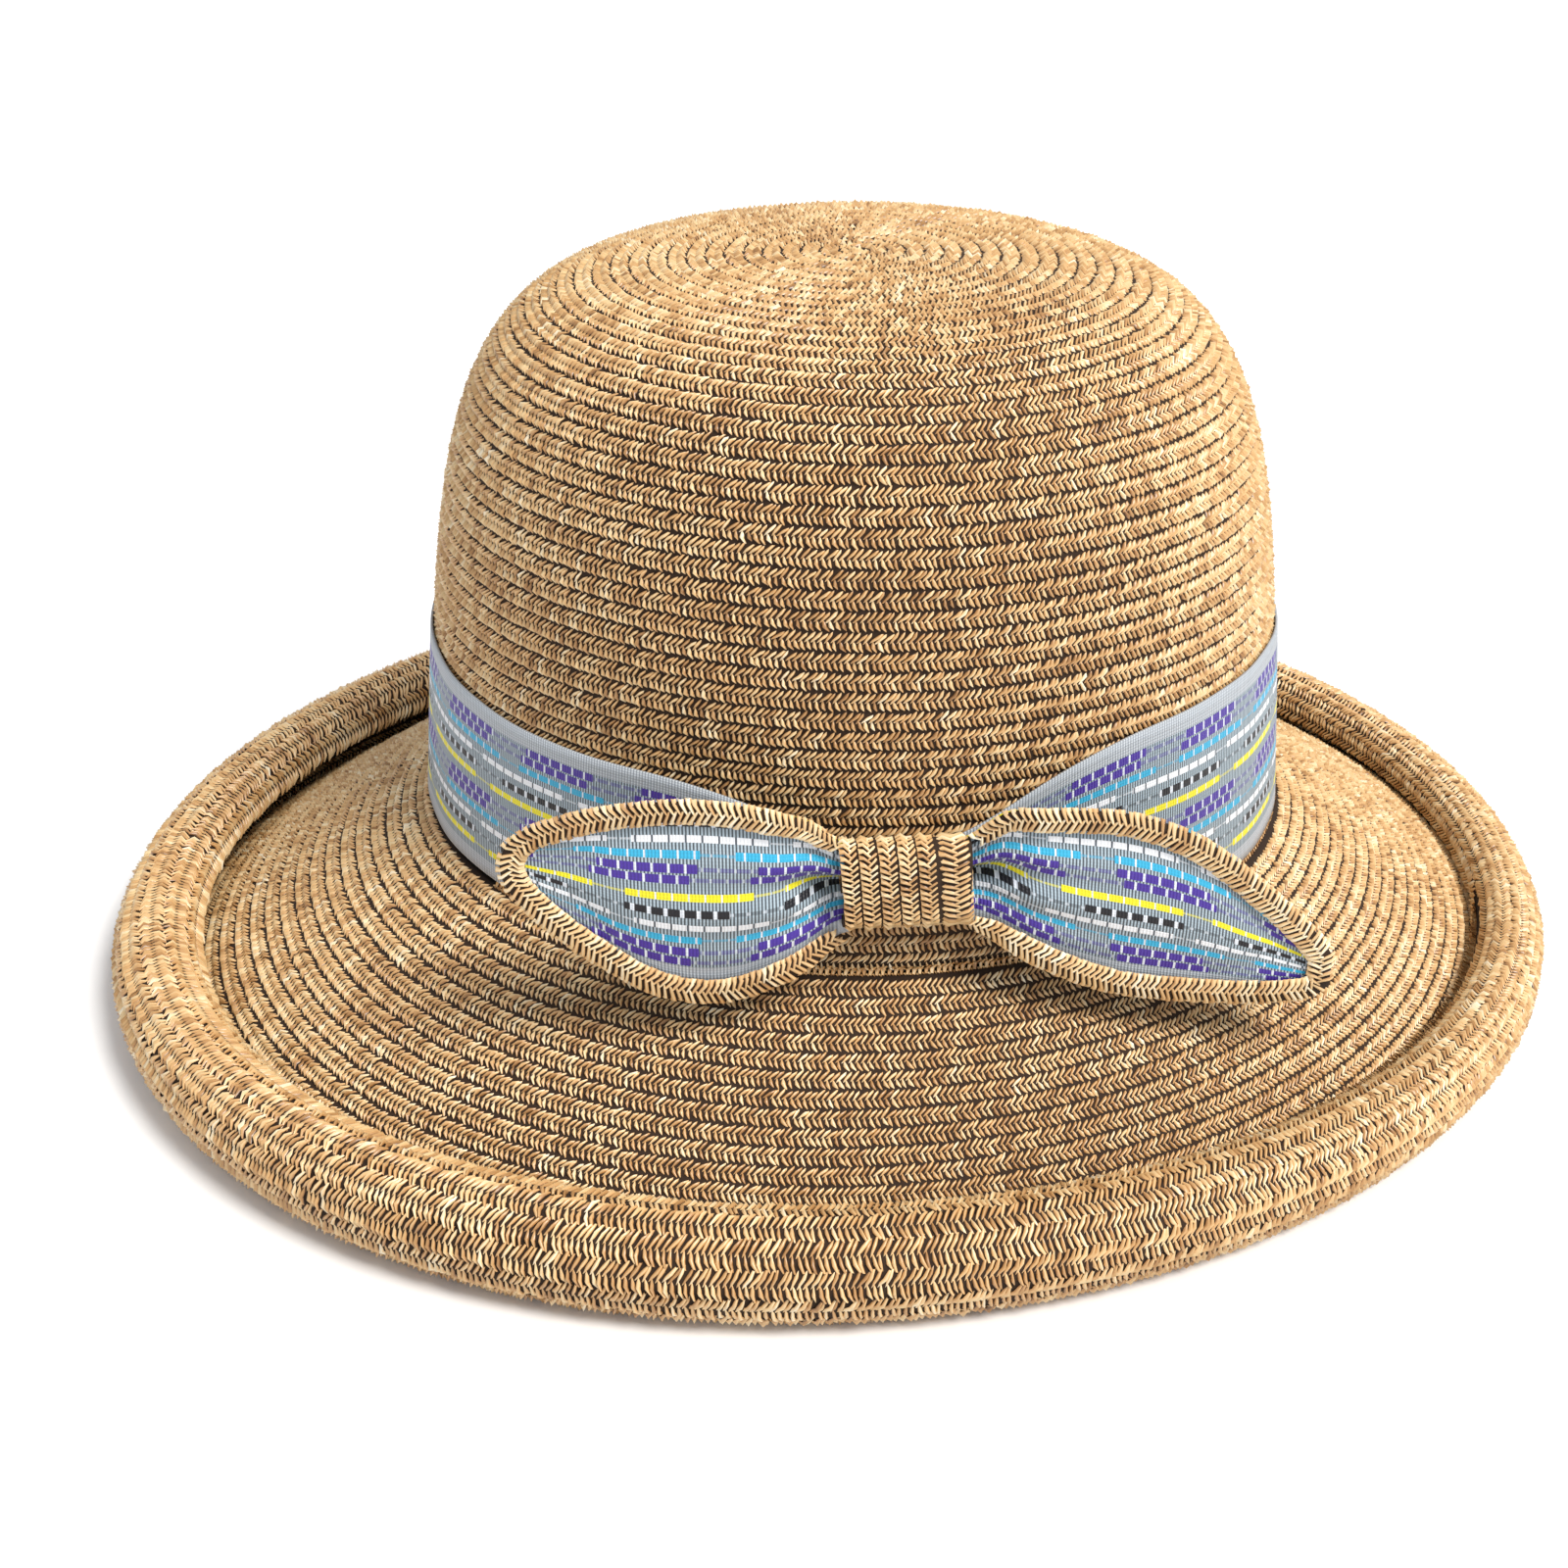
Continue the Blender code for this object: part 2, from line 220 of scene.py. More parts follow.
class BraidSettings(bpy.types.PropertyGroup):
    wall: length("Wall", "Thickness of the sewn straw", 0.0020)
    rise: length("Stitch rise", "How far the stitches stand out of the backing", 0.0007)
    row: length("Row", "Width of one row of braid", 0.00395)
    stitch: length("Stitch", "Length of one stitch", 0.00122)
    edging: length("Edging", "Width of the braid round the bow's leaves", 0.0050)
    plait: length("Plait", "Length of one stitch of that braid", 0.00125)
    seed: bpy.props.IntProperty(name="Seed", description="Seed of the small differences", default=7)


class RibbonSettings(bpy.types.PropertyGroup):
    width: length("Width", "Width of the ribbon", 0.0400)
    above_joint: length("Above joint", "Height of the band's lower edge above the joint", 0.0006)
    tilt: length("Tilt", "How much higher the band sits to the right of the knot", 0.0028)
    top_dip: length("Top dip", "How far the knot gathers the band's upper edge", 0.0143)
    top_power: number("Top dip power", "How local that gathering is", 21.0)
    low_dip: length("Low dip", "How far the knot gathers the band's lower edge", 0.0110)
    low_power: number("Low dip power", "How local that gathering is", 14.0)
    thickness: length("Thickness", "Thickness of the woven ribbon", 0.0005)


class BowSettings(bpy.types.PropertyGroup):
    turn: angle("Turn", "How far the bow is turned from the front", 4.9)
    above_joint: length("Above joint", "Height of the knot's middle above the joint", 0.0229)
    knot_width: length("Knot width", "Width of the knot", 0.0254)
    knot_height: length("Knot height", "Height of the knot", 0.0192)
    knot_depth: length("Knot depth", "Depth of the knot", 0.0092)
    knot_corner: length("Knot corner", "Radius of the knot's corners", 0.0042)
    stand_off: length("Stand-off", "How far the leaves lift off the band", 0.0034)
    lift_run: length("Lift run", "Distance from the knot over which the leaves lift", 0.0140)
    leaf_height: length("Leaf height", "Height that the leaves' outlines are shares of", 0.0440)
    left_length: length("Left length", "Length of the left leaf from the knot's middle", 0.0772)
    right_length: length("Right length", "Length of the right leaf from the knot's middle", 0.0848)
    left_bend: length("Left bend", "Radius of the left leaf's bend to the back", 0.250)
    right_bend: length("Right bend", "Radius of the right leaf's bend to the back", 1.500)
    puff: length("Puff", "How far the ribbon stands out inside the edging", 0.0024)
    fold: length("Fold", "Depth of the folds at the knot", 0.0013)
    fold_fade: length("Fold fade", "Distance over which the folds fade", 0.0180)
    mouth_depth: length("Mouth depth", "Depth of the deep fold where a leaf leaves the knot", 0.0052)
    mouth_run: length("Mouth run", "Distance over which that fold runs out", 0.0095)


class StageSettings(bpy.types.PropertyGroup):
    camera_side: length("Camera side", "How far the camera stands to the side", -0.0152)
    camera_back: length("Camera back", "How far the camera stands in front", 0.4741)
    camera_height: length("Camera height", "Height of the camera above the floor", 0.2941)
    tilt: angle("Tilt", "How far the camera looks down", 28.6)
    lens: number("Lens", "Focal length in mm for a 36 mm sensor", 53.75)
    floor_half: length("Floor", "Half the width of the floor", 40.0)
    sky: number("Sky", "Strength of the light from all round", 0.66)
    sun: number("Sun", "Strength of the key light", 3.3)
    sun_size: angle("Sun size", "How wide the key light is, which softens its shadow", 24)


class HatSettings(bpy.types.PropertyGroup):
    crown: bpy.props.PointerProperty(type=CrownSettings)
    brim: bpy.props.PointerProperty(type=BrimSettings)
    braid: bpy.props.PointerProperty(type=BraidSettings)
    ribbon: bpy.props.PointerProperty(type=RibbonSettings)
    bow: bpy.props.PointerProperty(type=BowSettings)
    stage: bpy.props.PointerProperty(type=StageSettings)


def linear(hex_colour):
    values = [int(hex_colour[k : k + 2], 16) / 255 for k in (1, 3, 5)]
    return tuple(v / 12.92 if v <= 0.04045 else ((v + 0.055) / 1.055) ** 2.4 for v in values) + (1.0,)


def crown_axis():
    """The crown's axis in the frame, from the crown's own box."""
    low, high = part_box("crown")
    return np.array([(low.x + high.x) / 2, (low.y + high.y) / 2, 0.0])


def unit(vectors):
    return vectors / np.maximum(np.linalg.norm(vectors, axis=-1, keepdims=True), 1e-9)


def ease(share):
    share = np.clip(share, 0.0, 1.0)
    return share * share * (3 - 2 * share)


def add(tree, kind, inputs=(), **settings):
    """A node with its settings, and its inputs by name or number as values or other sockets."""
    node = tree.nodes.new(kind)
    for name, value in settings.items():
        setattr(node, name, value)
    for socket, value in dict(inputs).items():
        if isinstance(value, bpy.types.NodeSocket):
            tree.links.new(value, node.inputs[socket])
        else:
            node.inputs[socket].default_value = value
    return node


def arithmetic(tree, operation, *values):
    return add(tree, "ShaderNodeMath", dict(enumerate(values)), operation=operation).outputs[0]


def uv_of(tree, name):
    return add(tree, "ShaderNodeUVMap", uv_map=name).outputs["UV"]


def parts_of(tree, vector):
    return add(tree, "ShaderNodeSeparateXYZ", {0: vector}).outputs


def blend(tree, factor, low, high):
    """A colour between two colours."""
    return add(tree, "ShaderNodeMix", {"Factor": factor, 6: low, 7: high}, data_type="RGBA").outputs[2]


def new_material(name):
    material = bpy.data.materials.new(name)
    material.use_nodes = True
    tree = material.node_tree
    return material, tree, tree.nodes["Principled BSDF"]


def colour_ramp(tree, factor, stops):
    ramp = add(tree, "ShaderNodeValToRGB", {"Fac": factor})
    elements = ramp.color_ramp.elements
    while len(elements) < len(stops):
        elements.new(0.5)
    for element, (position, colour) in zip(elements, stops):
        element.position = position
        element.color = linear(colour)
    return ramp.outputs["Color"]


def straw_material():
    """Split straw: warm tan strands, paler and browner ones among them, with fine fibres along each and
    painted shade towards each strand's sides.
    """
    material, tree, shader = new_material("split straw")
    calc = partial(arithmetic, tree)
    tone = add(tree, "ShaderNodeAttribute", attribute_name="tone").outputs["Fac"]
    strand = uv_of(tree, "strand")
    scale = {"Vector": strand, "Scale": (9.0, 1.2, 1.0)}
    stretched = add(tree, "ShaderNodeMapping", scale).outputs["Vector"]
    far = calc("MULTIPLY", tone, 37.0)
    moved = add(tree, "ShaderNodeCombineXYZ", {"X": far, "Y": far, "Z": far}).outputs[0]
    place = add(tree, "ShaderNodeVectorMath", {0: stretched, 1: moved}, operation="ADD").outputs[0]
    fibre = add(tree, "ShaderNodeTexNoise", {"Vector": place, "Scale": 1.0, "Detail": 2.0}).outputs["Fac"]
    split = parts_of(tree, strand)
    half = calc("FLOOR", calc("MULTIPLY", split[1], 2.0))
    # Painted shade: each strand darkens towards its sides, so that its crest looks lit
    side = calc("MULTIPLY", calc("SUBTRACT", split[0], 0.5), 2.0)
    shadow = calc("MULTIPLY", calc("MULTIPLY", side, side), PAINTED_SIDE_SHADE)
    which = add(tree, "ShaderNodeCombineXYZ", {"X": calc("MULTIPLY", tone, 91.0), "Y": half}).outputs[0]
    own = add(tree, "ShaderNodeTexWhiteNoise", {"Vector": which}, noise_dimensions="2D").outputs["Value"]
    shade = calc("ADD", tone, calc("MULTIPLY", calc("SUBTRACT", own, 0.5), STRAND_SPREAD))
    shade = calc("ADD", shade, calc("MULTIPLY", calc("SUBTRACT", fibre, 0.5), FIBRE_SPREAD))
    shade = calc("SUBTRACT", shade, shadow)
    stops = ((0.0, "#6f4a24"), (0.24, "#b28350"), (0.48, "#d8ad76"), (0.74, "#ecce9c"), (1.0, "#fdf2d8"))
    tree.links.new(colour_ramp(tree, shade, stops), shader.inputs["Base Color"])
    shader.inputs["Roughness"].default_value = 0.34
    shader.inputs["Specular IOR Level"].default_value = 0.70
    return material


def backing_material():
    """Painted shade: the straw and thread seen through the holes of the braid, dark brown as they lie in
    shade.
    """
    material, _, shader = new_material("shaded straw backing")
    # Dark brown painted shade for the holes between the stitches
    shader.inputs["Base Color"].default_value = linear("#2c1b0c")
    shader.inputs["Roughness"].default_value = 0.9
    return material


def flat_braid_material():
    """The braid seen from inside the hat: rows and slanting strands, one row and one stitch a unit, with
    painted shade in the grooves between strands and rows.
    """
    material, tree, shader = new_material("straw braid, inner side")
    calc = partial(arithmetic, tree)
    split = parts_of(tree, uv_of(tree, "rows"))
    across = calc("ABSOLUTE", calc("SUBTRACT", calc("FRACT", split[1]), 0.5))
    strand = calc("FRACT", calc("ADD", split[0], calc("MULTIPLY", across, 2.0)))
    crest = calc("SINE", calc("MULTIPLY", strand, math.pi))
    edge = calc("SUBTRACT", 1.0, calc("POWER", calc("MULTIPLY", across, 2.0), 5.0))
    height = calc("MULTIPLY", crest, edge)
    # The colour follows the height: painted shade darkens the grooves between strands and rows, and the
    # crests are paler
    stops = ((0.0, "#5d4025"), (0.35, "#a47c50"), (0.7, "#c8a275"), (1.0, "#dcbf96"))
    tree.links.new(colour_ramp(tree, height, stops), shader.inputs["Base Color"])
    bump = add(tree, "ShaderNodeBump", {"Height": height, "Distance": 0.5 * MM, "Strength": 0.8})
    tree.links.new(bump.outputs[0], shader.inputs["Normal"])
    shader.inputs["Roughness"].default_value = 0.55
    return material


def stripe_group():
    """A node group that paints one dashed stripe over a colour."""
    group = bpy.data.node_groups.new("Dashed stripe", "ShaderNodeTree")
    calc = partial(arithmetic, group)
    numbers = ("Along", "Across", "From", "To", "Pitch", "Filled", "Shift", "Group", "Strong", "Raised")
    for name in ("Base", "Colour", "Tick"):
        group.interface.new_socket(name, in_out="INPUT", socket_type="NodeSocketColor")
    for name in numbers:
        group.interface.new_socket(name, in_out="INPUT", socket_type="NodeSocketFloat")
    group.interface.new_socket("Colour", in_out="OUTPUT", socket_type="NodeSocketColor")
    group.interface.new_socket("Raised", in_out="OUTPUT", socket_type="NodeSocketFloat")
    given = group.nodes.new("NodeGroupInput").outputs
    group_place = calc("ADD", calc("DIVIDE", given["Along"], GROUP), given["Group"])
    strong = calc("LESS_THAN", calc("FRACT", group_place), given["Strong"])
    weak = calc("SUBTRACT", 1.0, strong)
    thinner = calc("MULTIPLY", weak, 0.45)
    above = calc("GREATER_THAN", given["Across"], calc("ADD", given["From"], thinner))
    below = calc("LESS_THAN", given["Across"], calc("SUBTRACT", given["To"], thinner))
    place = calc("ADD", calc("DIVIDE", given["Along"], given["Pitch"]), given["Shift"])
    dash = calc("LESS_THAN", calc("FRACT", place), given["Filled"])
    line = calc("MULTIPLY", above, below)
    strength = calc("SUBTRACT", 1.0, calc("MULTIPLY", weak, 0.55))
    mask = calc("MULTIPLY", line, strength)
    thread = blend(group, dash, given["Tick"], given["Colour"])
    mixed = blend(group, mask, given["Base"], thread)
    raised = calc("MULTIPLY", calc("MULTIPLY", line, dash), strength)
    raised = calc("MAXIMUM", raised, given["Raised"])
    add(group, "NodeGroupOutput", {0: mixed, 1: raised})
    return group


def ribbon_material(group):
    """Woven ribbon: pale ground and selvedges, two repeats of dashed stripes, and fine ribs across."""
    material, tree, shader = new_material("woven ribbon")
    calc = partial(arithmetic, tree)
    along, across, _ = parts_of(tree, uv_of(tree, "ribbon"))
    inside = calc("SUBTRACT", across, SELVEDGE)
    repeats = calc("FLOORED_MODULO", inside, REPEAT)
    warp = calc("SINE", calc("MULTIPLY", along, math.tau / 0.66))
    thread = calc("POWER", calc("ADD", calc("MULTIPLY", warp, 0.5), 0.5), 0.8)
    colour = blend(tree, thread, linear("#10151c"), linear("#b4c6d2"))
    raised = 0.0
    for start, end, paint, tick, *values in STRIPES:
        stripe = add(tree, "ShaderNodeGroup", node_tree=group)
        names = ("From", "To", "Pitch", "Filled", "Shift", "Group", "Strong")
        for name, value in zip(names, (start, end, *values)):
            stripe.inputs[name].default_value = value
        stripe.inputs["Colour"].default_value = linear(paint)
        stripe.inputs["Tick"].default_value = linear(tick)
        tree.links.new(colour, stripe.inputs["Base"])
        tree.links.new(along, stripe.inputs["Along"])
        tree.links.new(repeats, stripe.inputs["Across"])
        if raised:
            tree.links.new(raised, stripe.inputs["Raised"])
        colour, raised = stripe.outputs
    low = calc("LESS_THAN", inside, 0.0)
    high = calc("GREATER_THAN", inside, 2 * REPEAT)
    edge = calc("MAXIMUM", low, high)
    picks = calc("SINE", calc("MULTIPLY", across, math.tau / 0.6))
    grid = calc("MULTIPLY", thread, calc("ADD", calc("MULTIPLY", picks, 0.25), 0.75))
    selvedge = blend(tree, grid, linear("#8b919a"), linear("#cfd6dc"))
    edged = blend(tree, edge, colour, selvedge)
    tree.links.new(edged, shader.inputs["Base Color"])
    weave = calc("ADD", warp, calc("MULTIPLY", picks, 0.35))
    weave = calc("ADD", weave, calc("MULTIPLY", raised, 3.5))
    bump = add(tree, "ShaderNodeBump", {"Height": weave, "Distance": 0.07 * MM, "Strength": 0.8})
    tree.links.new(bump.outputs[0], shader.inputs["Normal"])
    shader.inputs["Roughness"].default_value = 0.50
    shader.inputs["Sheen Weight"].default_value = 0.10
    return material


def crown_at(hat, turn, rise):
    """Points of the crown at turns round the hat and shares of its height above the joint."""
    crown = hat.crown
    fullness = np.maximum(1 - np.maximum(rise, 0.0) ** crown.shoulder, 0.0) ** (1 / crown.tip)
    reach = (1 - crown.taper * rise) * fullness
    x = crown.half_width * reach * np.cos(turn)
    y = crown.half_depth * reach * np.sin(turn)
    z = hat.brim.joint_height + crown.height * rise + crown.dome * (1 - fullness**2) + 0 * x
    return np.stack([x, y, z], -1)


def crown_profile(hat):
    """Distances along the crown's outline from its tip, and the share of its height at each."""
    rise = 1 - np.linspace(0, 1, 3000) ** 4
    outline = crown_at(hat, 0.0, rise)
    steps = np.linalg.norm(np.diff(outline, axis=0), axis=1)
    return np.concatenate([[0.0], np.cumsum(steps)]), rise


def crown_surface(hat):
    distances, rises = crown_profile(hat)

    def surface(turn, share):
        return crown_at(hat, turn, np.interp(share, distances / distances[-1], rises))

    return surface


def roll_section(hat, turn):
    """The roll's middle and radius at a turn round the hat."""
    brim = hat.brim
    middle = (
        brim.roll_reach
        - brim.wider_left * np.cos(turn)
        + brim.wider_back * np.sin(turn)
        + brim.oval * np.cos(2 * turn)
        + brim.skew * np.sin(2 * turn)
    )
    radius = brim.roll_radius - brim.thicker_left * np.cos(turn) - brim.thicker_front * np.cos(2 * turn)
    return middle, radius


def joint_reach(hat, turn):
    return np.hypot(hat.crown.half_width * np.cos(turn), hat.crown.half_depth * np.sin(turn))


def sloping(hat, turn, share, start, inset, end_angle):
    """A line that slopes down, then follows the roll's circle to an angle, by shares of its length."""
    middle, radius = roll_section(hat, turn)
    reach, height = start
    centre = radius
    inner = radius - inset
    across, down = middle - reach, height - centre
    slope = np.arctan2(down, across) + np.arcsin(inner / np.hypot(across, down))
    touch = -math.pi / 2 - slope
    end = middle + inner * np.cos(touch), centre + inner * np.sin(touch)
    straight = np.hypot(end[0] - reach, end[1] - height)
    arc = inner * np.maximum(end_angle - touch, 0.0)
    gone = share * (straight + arc)
    on_slope = np.clip(gone / straight, 0.0, 1.0)
    round_by = touch + np.maximum(gone - straight, 0.0) / inner
    bent = gone > straight
    r = np.where(bent, middle + inner * np.cos(round_by), reach + (end[0] - reach) * on_slope)
    z = np.where(bent, centre + inner * np.sin(round_by), height + (end[1] - height) * on_slope)
    return np.stack([r * np.cos(turn), r * np.sin(turn), z], -1)


def brim_top(hat):
    """The brim's upper side, from the joint down to the inside of the roll."""

    def surface(turn, share):
        start = joint_reach(hat, turn) + 0.3 * MM, hat.brim.joint_height - 1.2 * MM
        return sloping(hat, turn, share, start, hat.braid.wall, SLOPE_END)

    return surface


def brim_under(hat):
    """The brim's underside, from the joint to the floor."""

    def surface(turn, share):
        start = joint_reach(hat, turn) - hat.braid.wall, hat.brim.joint_height - 2.0 * MM
        return sloping(hat, turn, share, start, 0.0, math.radians(-90))

    return surface


def roll_outside(hat):
    """The outside of the roll, from its lip to the floor."""

    def surface(turn, share):
        middle, radius = roll_section(hat, turn)
        angle_now = hat.brim.lip - share * (hat.brim.lip + math.pi / 2)
        r = middle + radius * np.cos(angle_now)
        z = radius + radius * np.sin(angle_now)
        return np.stack([r * np.cos(turn), r * np.sin(turn), z], -1)

    return surface


def outward(surface, turn, share):
    """Directions that point straight out of a surface."""
    along = surface(turn + SMALL, share) - surface(turn - SMALL, share)
    low, high = np.clip(share - SMALL, 0, 1), np.clip(share + SMALL, 0, 1)
    return unit(np.cross(surface(turn, high) - surface(turn, low), along))


def surface_length(surface):
    """Length of a surface from its start to its end, on the hat's right."""
    shares = np.linspace(0, 1, 400)
    points = surface(0 * shares, shares)
    return np.linalg.norm(np.diff(points, axis=0), axis=1).sum()


def walk(points, step, closed=False):
    """Numbers of the places that lie one step apart along a line of points, as fractions of its indices."""
    if closed:
        points = np.concatenate([points, points[:1]])
    gone = np.concatenate([[0.0], np.cumsum(np.linalg.norm(np.diff(points, axis=0), axis=1))])
    count = max(int(gone[-1] / step), 2)
    return np.interp(np.linspace(0, gone[-1], count, endpoint=not closed), gone, np.arange(len(points)))


def row_tones(rng, distance):
    """A slow drift of the straw's tone along a row, as other strands run in and out of the braid."""
    stretch = rng.uniform(0, 1, int(distance[-1] / DRIFT_RUN) + 3)
    return np.interp(distance / DRIFT_RUN, np.arange(len(stretch)), stretch)


def spiral(hat, surface, width, first, seed, keep=None):
    """Stitches along one long row that winds down a surface: places, directions, widths and tones."""
    rows = max(round(surface_length(surface) / width), 1)
    turns = np.linspace(first, rows, int((rows - first) * 1500))
    gone_to = walk(surface(math.tau * turns, turns / rows), hat.braid.stitch)
    turns = np.interp(gone_to, np.arange(len(turns)), turns)
    turn, share = math.tau * turns, turns / rows
    out = outward(surface, turn, share)
    along = surface(turn + SMALL, np.clip(share + SMALL / math.tau / rows, 0, 1)) - surface(turn, share)
    half = 0.5 / rows
    low, high = np.clip(share - half, 0, 1), np.clip(share + half, 0, 1)
    span = surface(turn, high) - surface(turn, low)
    wide = np.linalg.norm(span, axis=1) * 2 * half / (high - low)
    rng = np.random.default_rng(hat.braid.seed + seed)
    tone = TONE_DRIFT * row_tones(rng, turns * 0.5) + LOW_TONE + TONE_SPREAD * rng.beta(2.0, 2.2, len(turns))
    place = surface(turn, share) - out * hat.braid.rise
    stitches = place, unit(along), out, wide, tone
    if keep is None:
        return stitches
    kept = keep(place, turn)
    return tuple(values[kept] for values in stitches)


def plain_mesh(name, points, faces, materials):
    mesh = bpy.data.meshes.new(name)
    mesh.from_pydata(points, [], faces)
    if mesh.validate():
        raise RuntimeError(f"{name} has faulty faces")
    mesh.shade_smooth()
    for material in materials:
        mesh.materials.append(material)
    thing = bpy.data.objects.new(name, mesh)
    bpy.context.scene.collection.objects.link(thing)
    return thing


def stitch_shape(name, strands):
    """One stitch made of strands. Across it is one row wide and along it one stitch."""
    points = []
    uvs = []
    faces = []
    for stations in strands:
        first = len(points)
        for across, along, half, crest, drop in stations:
            for side in (-1, 0, 1):
                lift = crest if side == 0 else crest - drop
                points.append((along + side * half, across, lift * MM))
                uvs.append((0.5 + side / 2, 0.5 + across / 1.2))
        for i in range(len(stations) - 1):
            for j in range(first + 3 * i, first + 3 * i + 2):
                face = (j, j + 3, j + 4, j + 1)
                faces.append(face if stations[0][0] > 0 else face[::-1])
    thing = plain_mesh(name, points, faces, [])
    layer = thing.data.uv_layers.new(name="strand")
    for loop in thing.data.loops:
        layer.data[loop.index].uv = uvs[loop.vertex_index]
    return thing


def stitch_group():
    """Geometry nodes that lay one stitch on every point of a row and make them one mesh."""
    group = bpy.data.node_groups.new("Stitches along rows", "GeometryNodeTree")
    calc = partial(arithmetic, group)
    for name, kind in (
        ("Geometry", "NodeSocketGeometry"),
        ("Stitch", "NodeSocketObject"),
        ("Stitch length", "NodeSocketFloat"),
        ("Jitter", "NodeSocketFloat"),
        ("Seed", "NodeSocketInt"),
        ("Material", "NodeSocketMaterial"),
    ):
        group.interface.new_socket(name, in_out="INPUT", socket_type=kind)
    group.interface.new_socket("Geometry", in_out="OUTPUT", socket_type="NodeSocketGeometry")
    given = group.nodes.new("NodeGroupInput").outputs

    def named(name, kind):
        return add(group, "GeometryNodeInputNamedAttribute", {"Name": name}, data_type=kind).outputs[0]

    def chance(low, high, offset):
        seed = calc("ADD", given["Seed"], offset)
        limits = {2: low, 3: high, "Seed": seed}
        return add(group, "FunctionNodeRandomValue", limits, data_type="FLOAT").outputs[1]

    out, along = named("outwards", "FLOAT_VECTOR"), named("along", "FLOAT_VECTOR")
    axes = {"Primary Axis": out, "Secondary Axis": along}
    facing = add(group, "FunctionNodeAxesToRotation", axes, primary_axis="Z", secondary_axis="X")
    jitter = given["Jitter"]
    back = calc("MULTIPLY", jitter, -1.0)
    nudges = {name: chance(back, jitter, offset) for offset, name in enumerate("XYZ", 1)}
    nudge = add(group, "ShaderNodeCombineXYZ", nudges).outputs[0]
    by = add(group, "FunctionNodeEulerToRotation", {0: nudge}).outputs[0]
    turns = {"Rotation": facing.outputs[0], "Rotate By": by}
    turned = add(group, "FunctionNodeRotateRotation", turns, rotation_space="LOCAL")
    size = add(
        group,
        "ShaderNodeCombineXYZ",
        {
            "X": calc("MULTIPLY", given["Stitch length"], chance(0.84, 1.14, 4)),
            "Y": calc("MULTIPLY", named("row_width", "FLOAT"), chance(0.97, 1.03, 5)),
            "Z": chance(0.85, 1.15, 6),
        },
    )
    laid = add(
        group,
        "GeometryNodeInstanceOnPoints",
        {
            "Points": given["Geometry"],
            "Instance": add(group, "GeometryNodeObjectInfo", {"Object": given["Stitch"]}).outputs["Geometry"],
            "Rotation": turned.outputs[0],
            "Scale": size.outputs[0],
        },
    )
    real = add(group, "GeometryNodeRealizeInstances", {0: laid.outputs[0]})
    paint = {"Geometry": real.outputs[0], "Material": given["Material"]}
    painted = add(group, "GeometryNodeSetMaterial", paint)
    add(group, "NodeGroupOutput", {0: painted.outputs[0]})
    return group


def bake_grid(mesh, faces_each):
    """A UV map with one small cell of a grid for every stitch."""
    strand = mesh.uv_layers["strand"]
    uv = np.empty(len(mesh.loops) * 2)
    strand.data.foreach_get("uv", uv)
    uv = uv.reshape(-1, 2)
    cell = np.arange(len(mesh.loops)) // (faces_each * 4)
    count = int(cell.max()) + 1
    side = math.ceil(math.sqrt(count))
    corner = np.stack([cell % side, cell // side], -1)
    layer = mesh.uv_layers.new(name="OFBake")
    layer.data.foreach_set("uv", ((corner + 0.08 + uv * 0.84) / side).ravel())


def lay_stitches(hat, kit, name, rows, slot_name, plaited=False):
    """Objects of plain stitches from rows of places, none of them too big."""
    place, along, out, wide, tone = rows
    shape = kit["plait"] if plaited else kit["loop"]
    parts = math.ceil(len(place) / MOST_STITCHES)
    made = []
    for part in range(parts):
        chosen = slice(part * len(place) // parts, (part + 1) * len(place) // parts)
        title = f"{name}_{part + 1}" if parts > 1 else name
        guide = plain_mesh(title + "_rows", place[chosen] + crown_axis(), [], [])
        for label, values, kind in (
            ("along", along, "FLOAT_VECTOR"),
            ("outwards", out, "FLOAT_VECTOR"),
            ("row_width", wide, "FLOAT"),
            ("tone", tone, "FLOAT"),
        ):
            attribute = guide.data.attributes.new(label, kind, "POINT")
            field = "vector" if kind == "FLOAT_VECTOR" else "value"
            attribute.data.foreach_set(field, values[chosen].ravel())
        modifier = guide.modifiers.new("Stitches", "NODES")
        modifier.node_group = kit["group"]
        values = {
            "Stitch": shape,
            "Stitch length": hat.braid.plait if plaited else hat.braid.stitch,
            "Jitter": PLAIT_JITTER if plaited else LOOP_JITTER,
            "Seed": hat.braid.seed + part,
            "Material": kit["straw"],
        }
        for item in kit["group"].interface.items_tree:
            if item.in_out == "INPUT" and item.name in values:
                modifier[item.identifier] = values[item.name]
        bpy.context.view_layer.update()
        graph = bpy.context.evaluated_depsgraph_get()
        mesh = bpy.data.meshes.new_from_object(guide.evaluated_get(graph), depsgraph=graph)
        bpy.data.objects.remove(guide)
        for label in ("along", "outwards", "row_width"):
            if label in mesh.attributes:
                mesh.attributes.remove(mesh.attributes[label])
        bake_grid(mesh, len(shape.data.polygons))
        mesh.shade_smooth()
        if not len(mesh.polygons):
            raise RuntimeError(f"{title} has no stitches")
        braid = bpy.data.objects.new(title, mesh)
        bpy.context.scene.collection.objects.link(braid)
        made.append(finish_piece(braid, slot_name))
    return made


def finish_piece(piece, slot_name, *nodes):
    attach(piece, "root")
    if nodes:
        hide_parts(*nodes)
    return piece


def grid_faces(rows, columns, around=False, start=0):
    wrap = columns if around else columns - 1
    return [
        (
            start + i * columns + j,
            start + i * columns + (j + 1) % columns,
            start + (i + 1) * columns + (j + 1) % columns,
            start + (i + 1) * columns + j,
        )
        for i in range(rows - 1)
        for j in range(wrap)
    ]


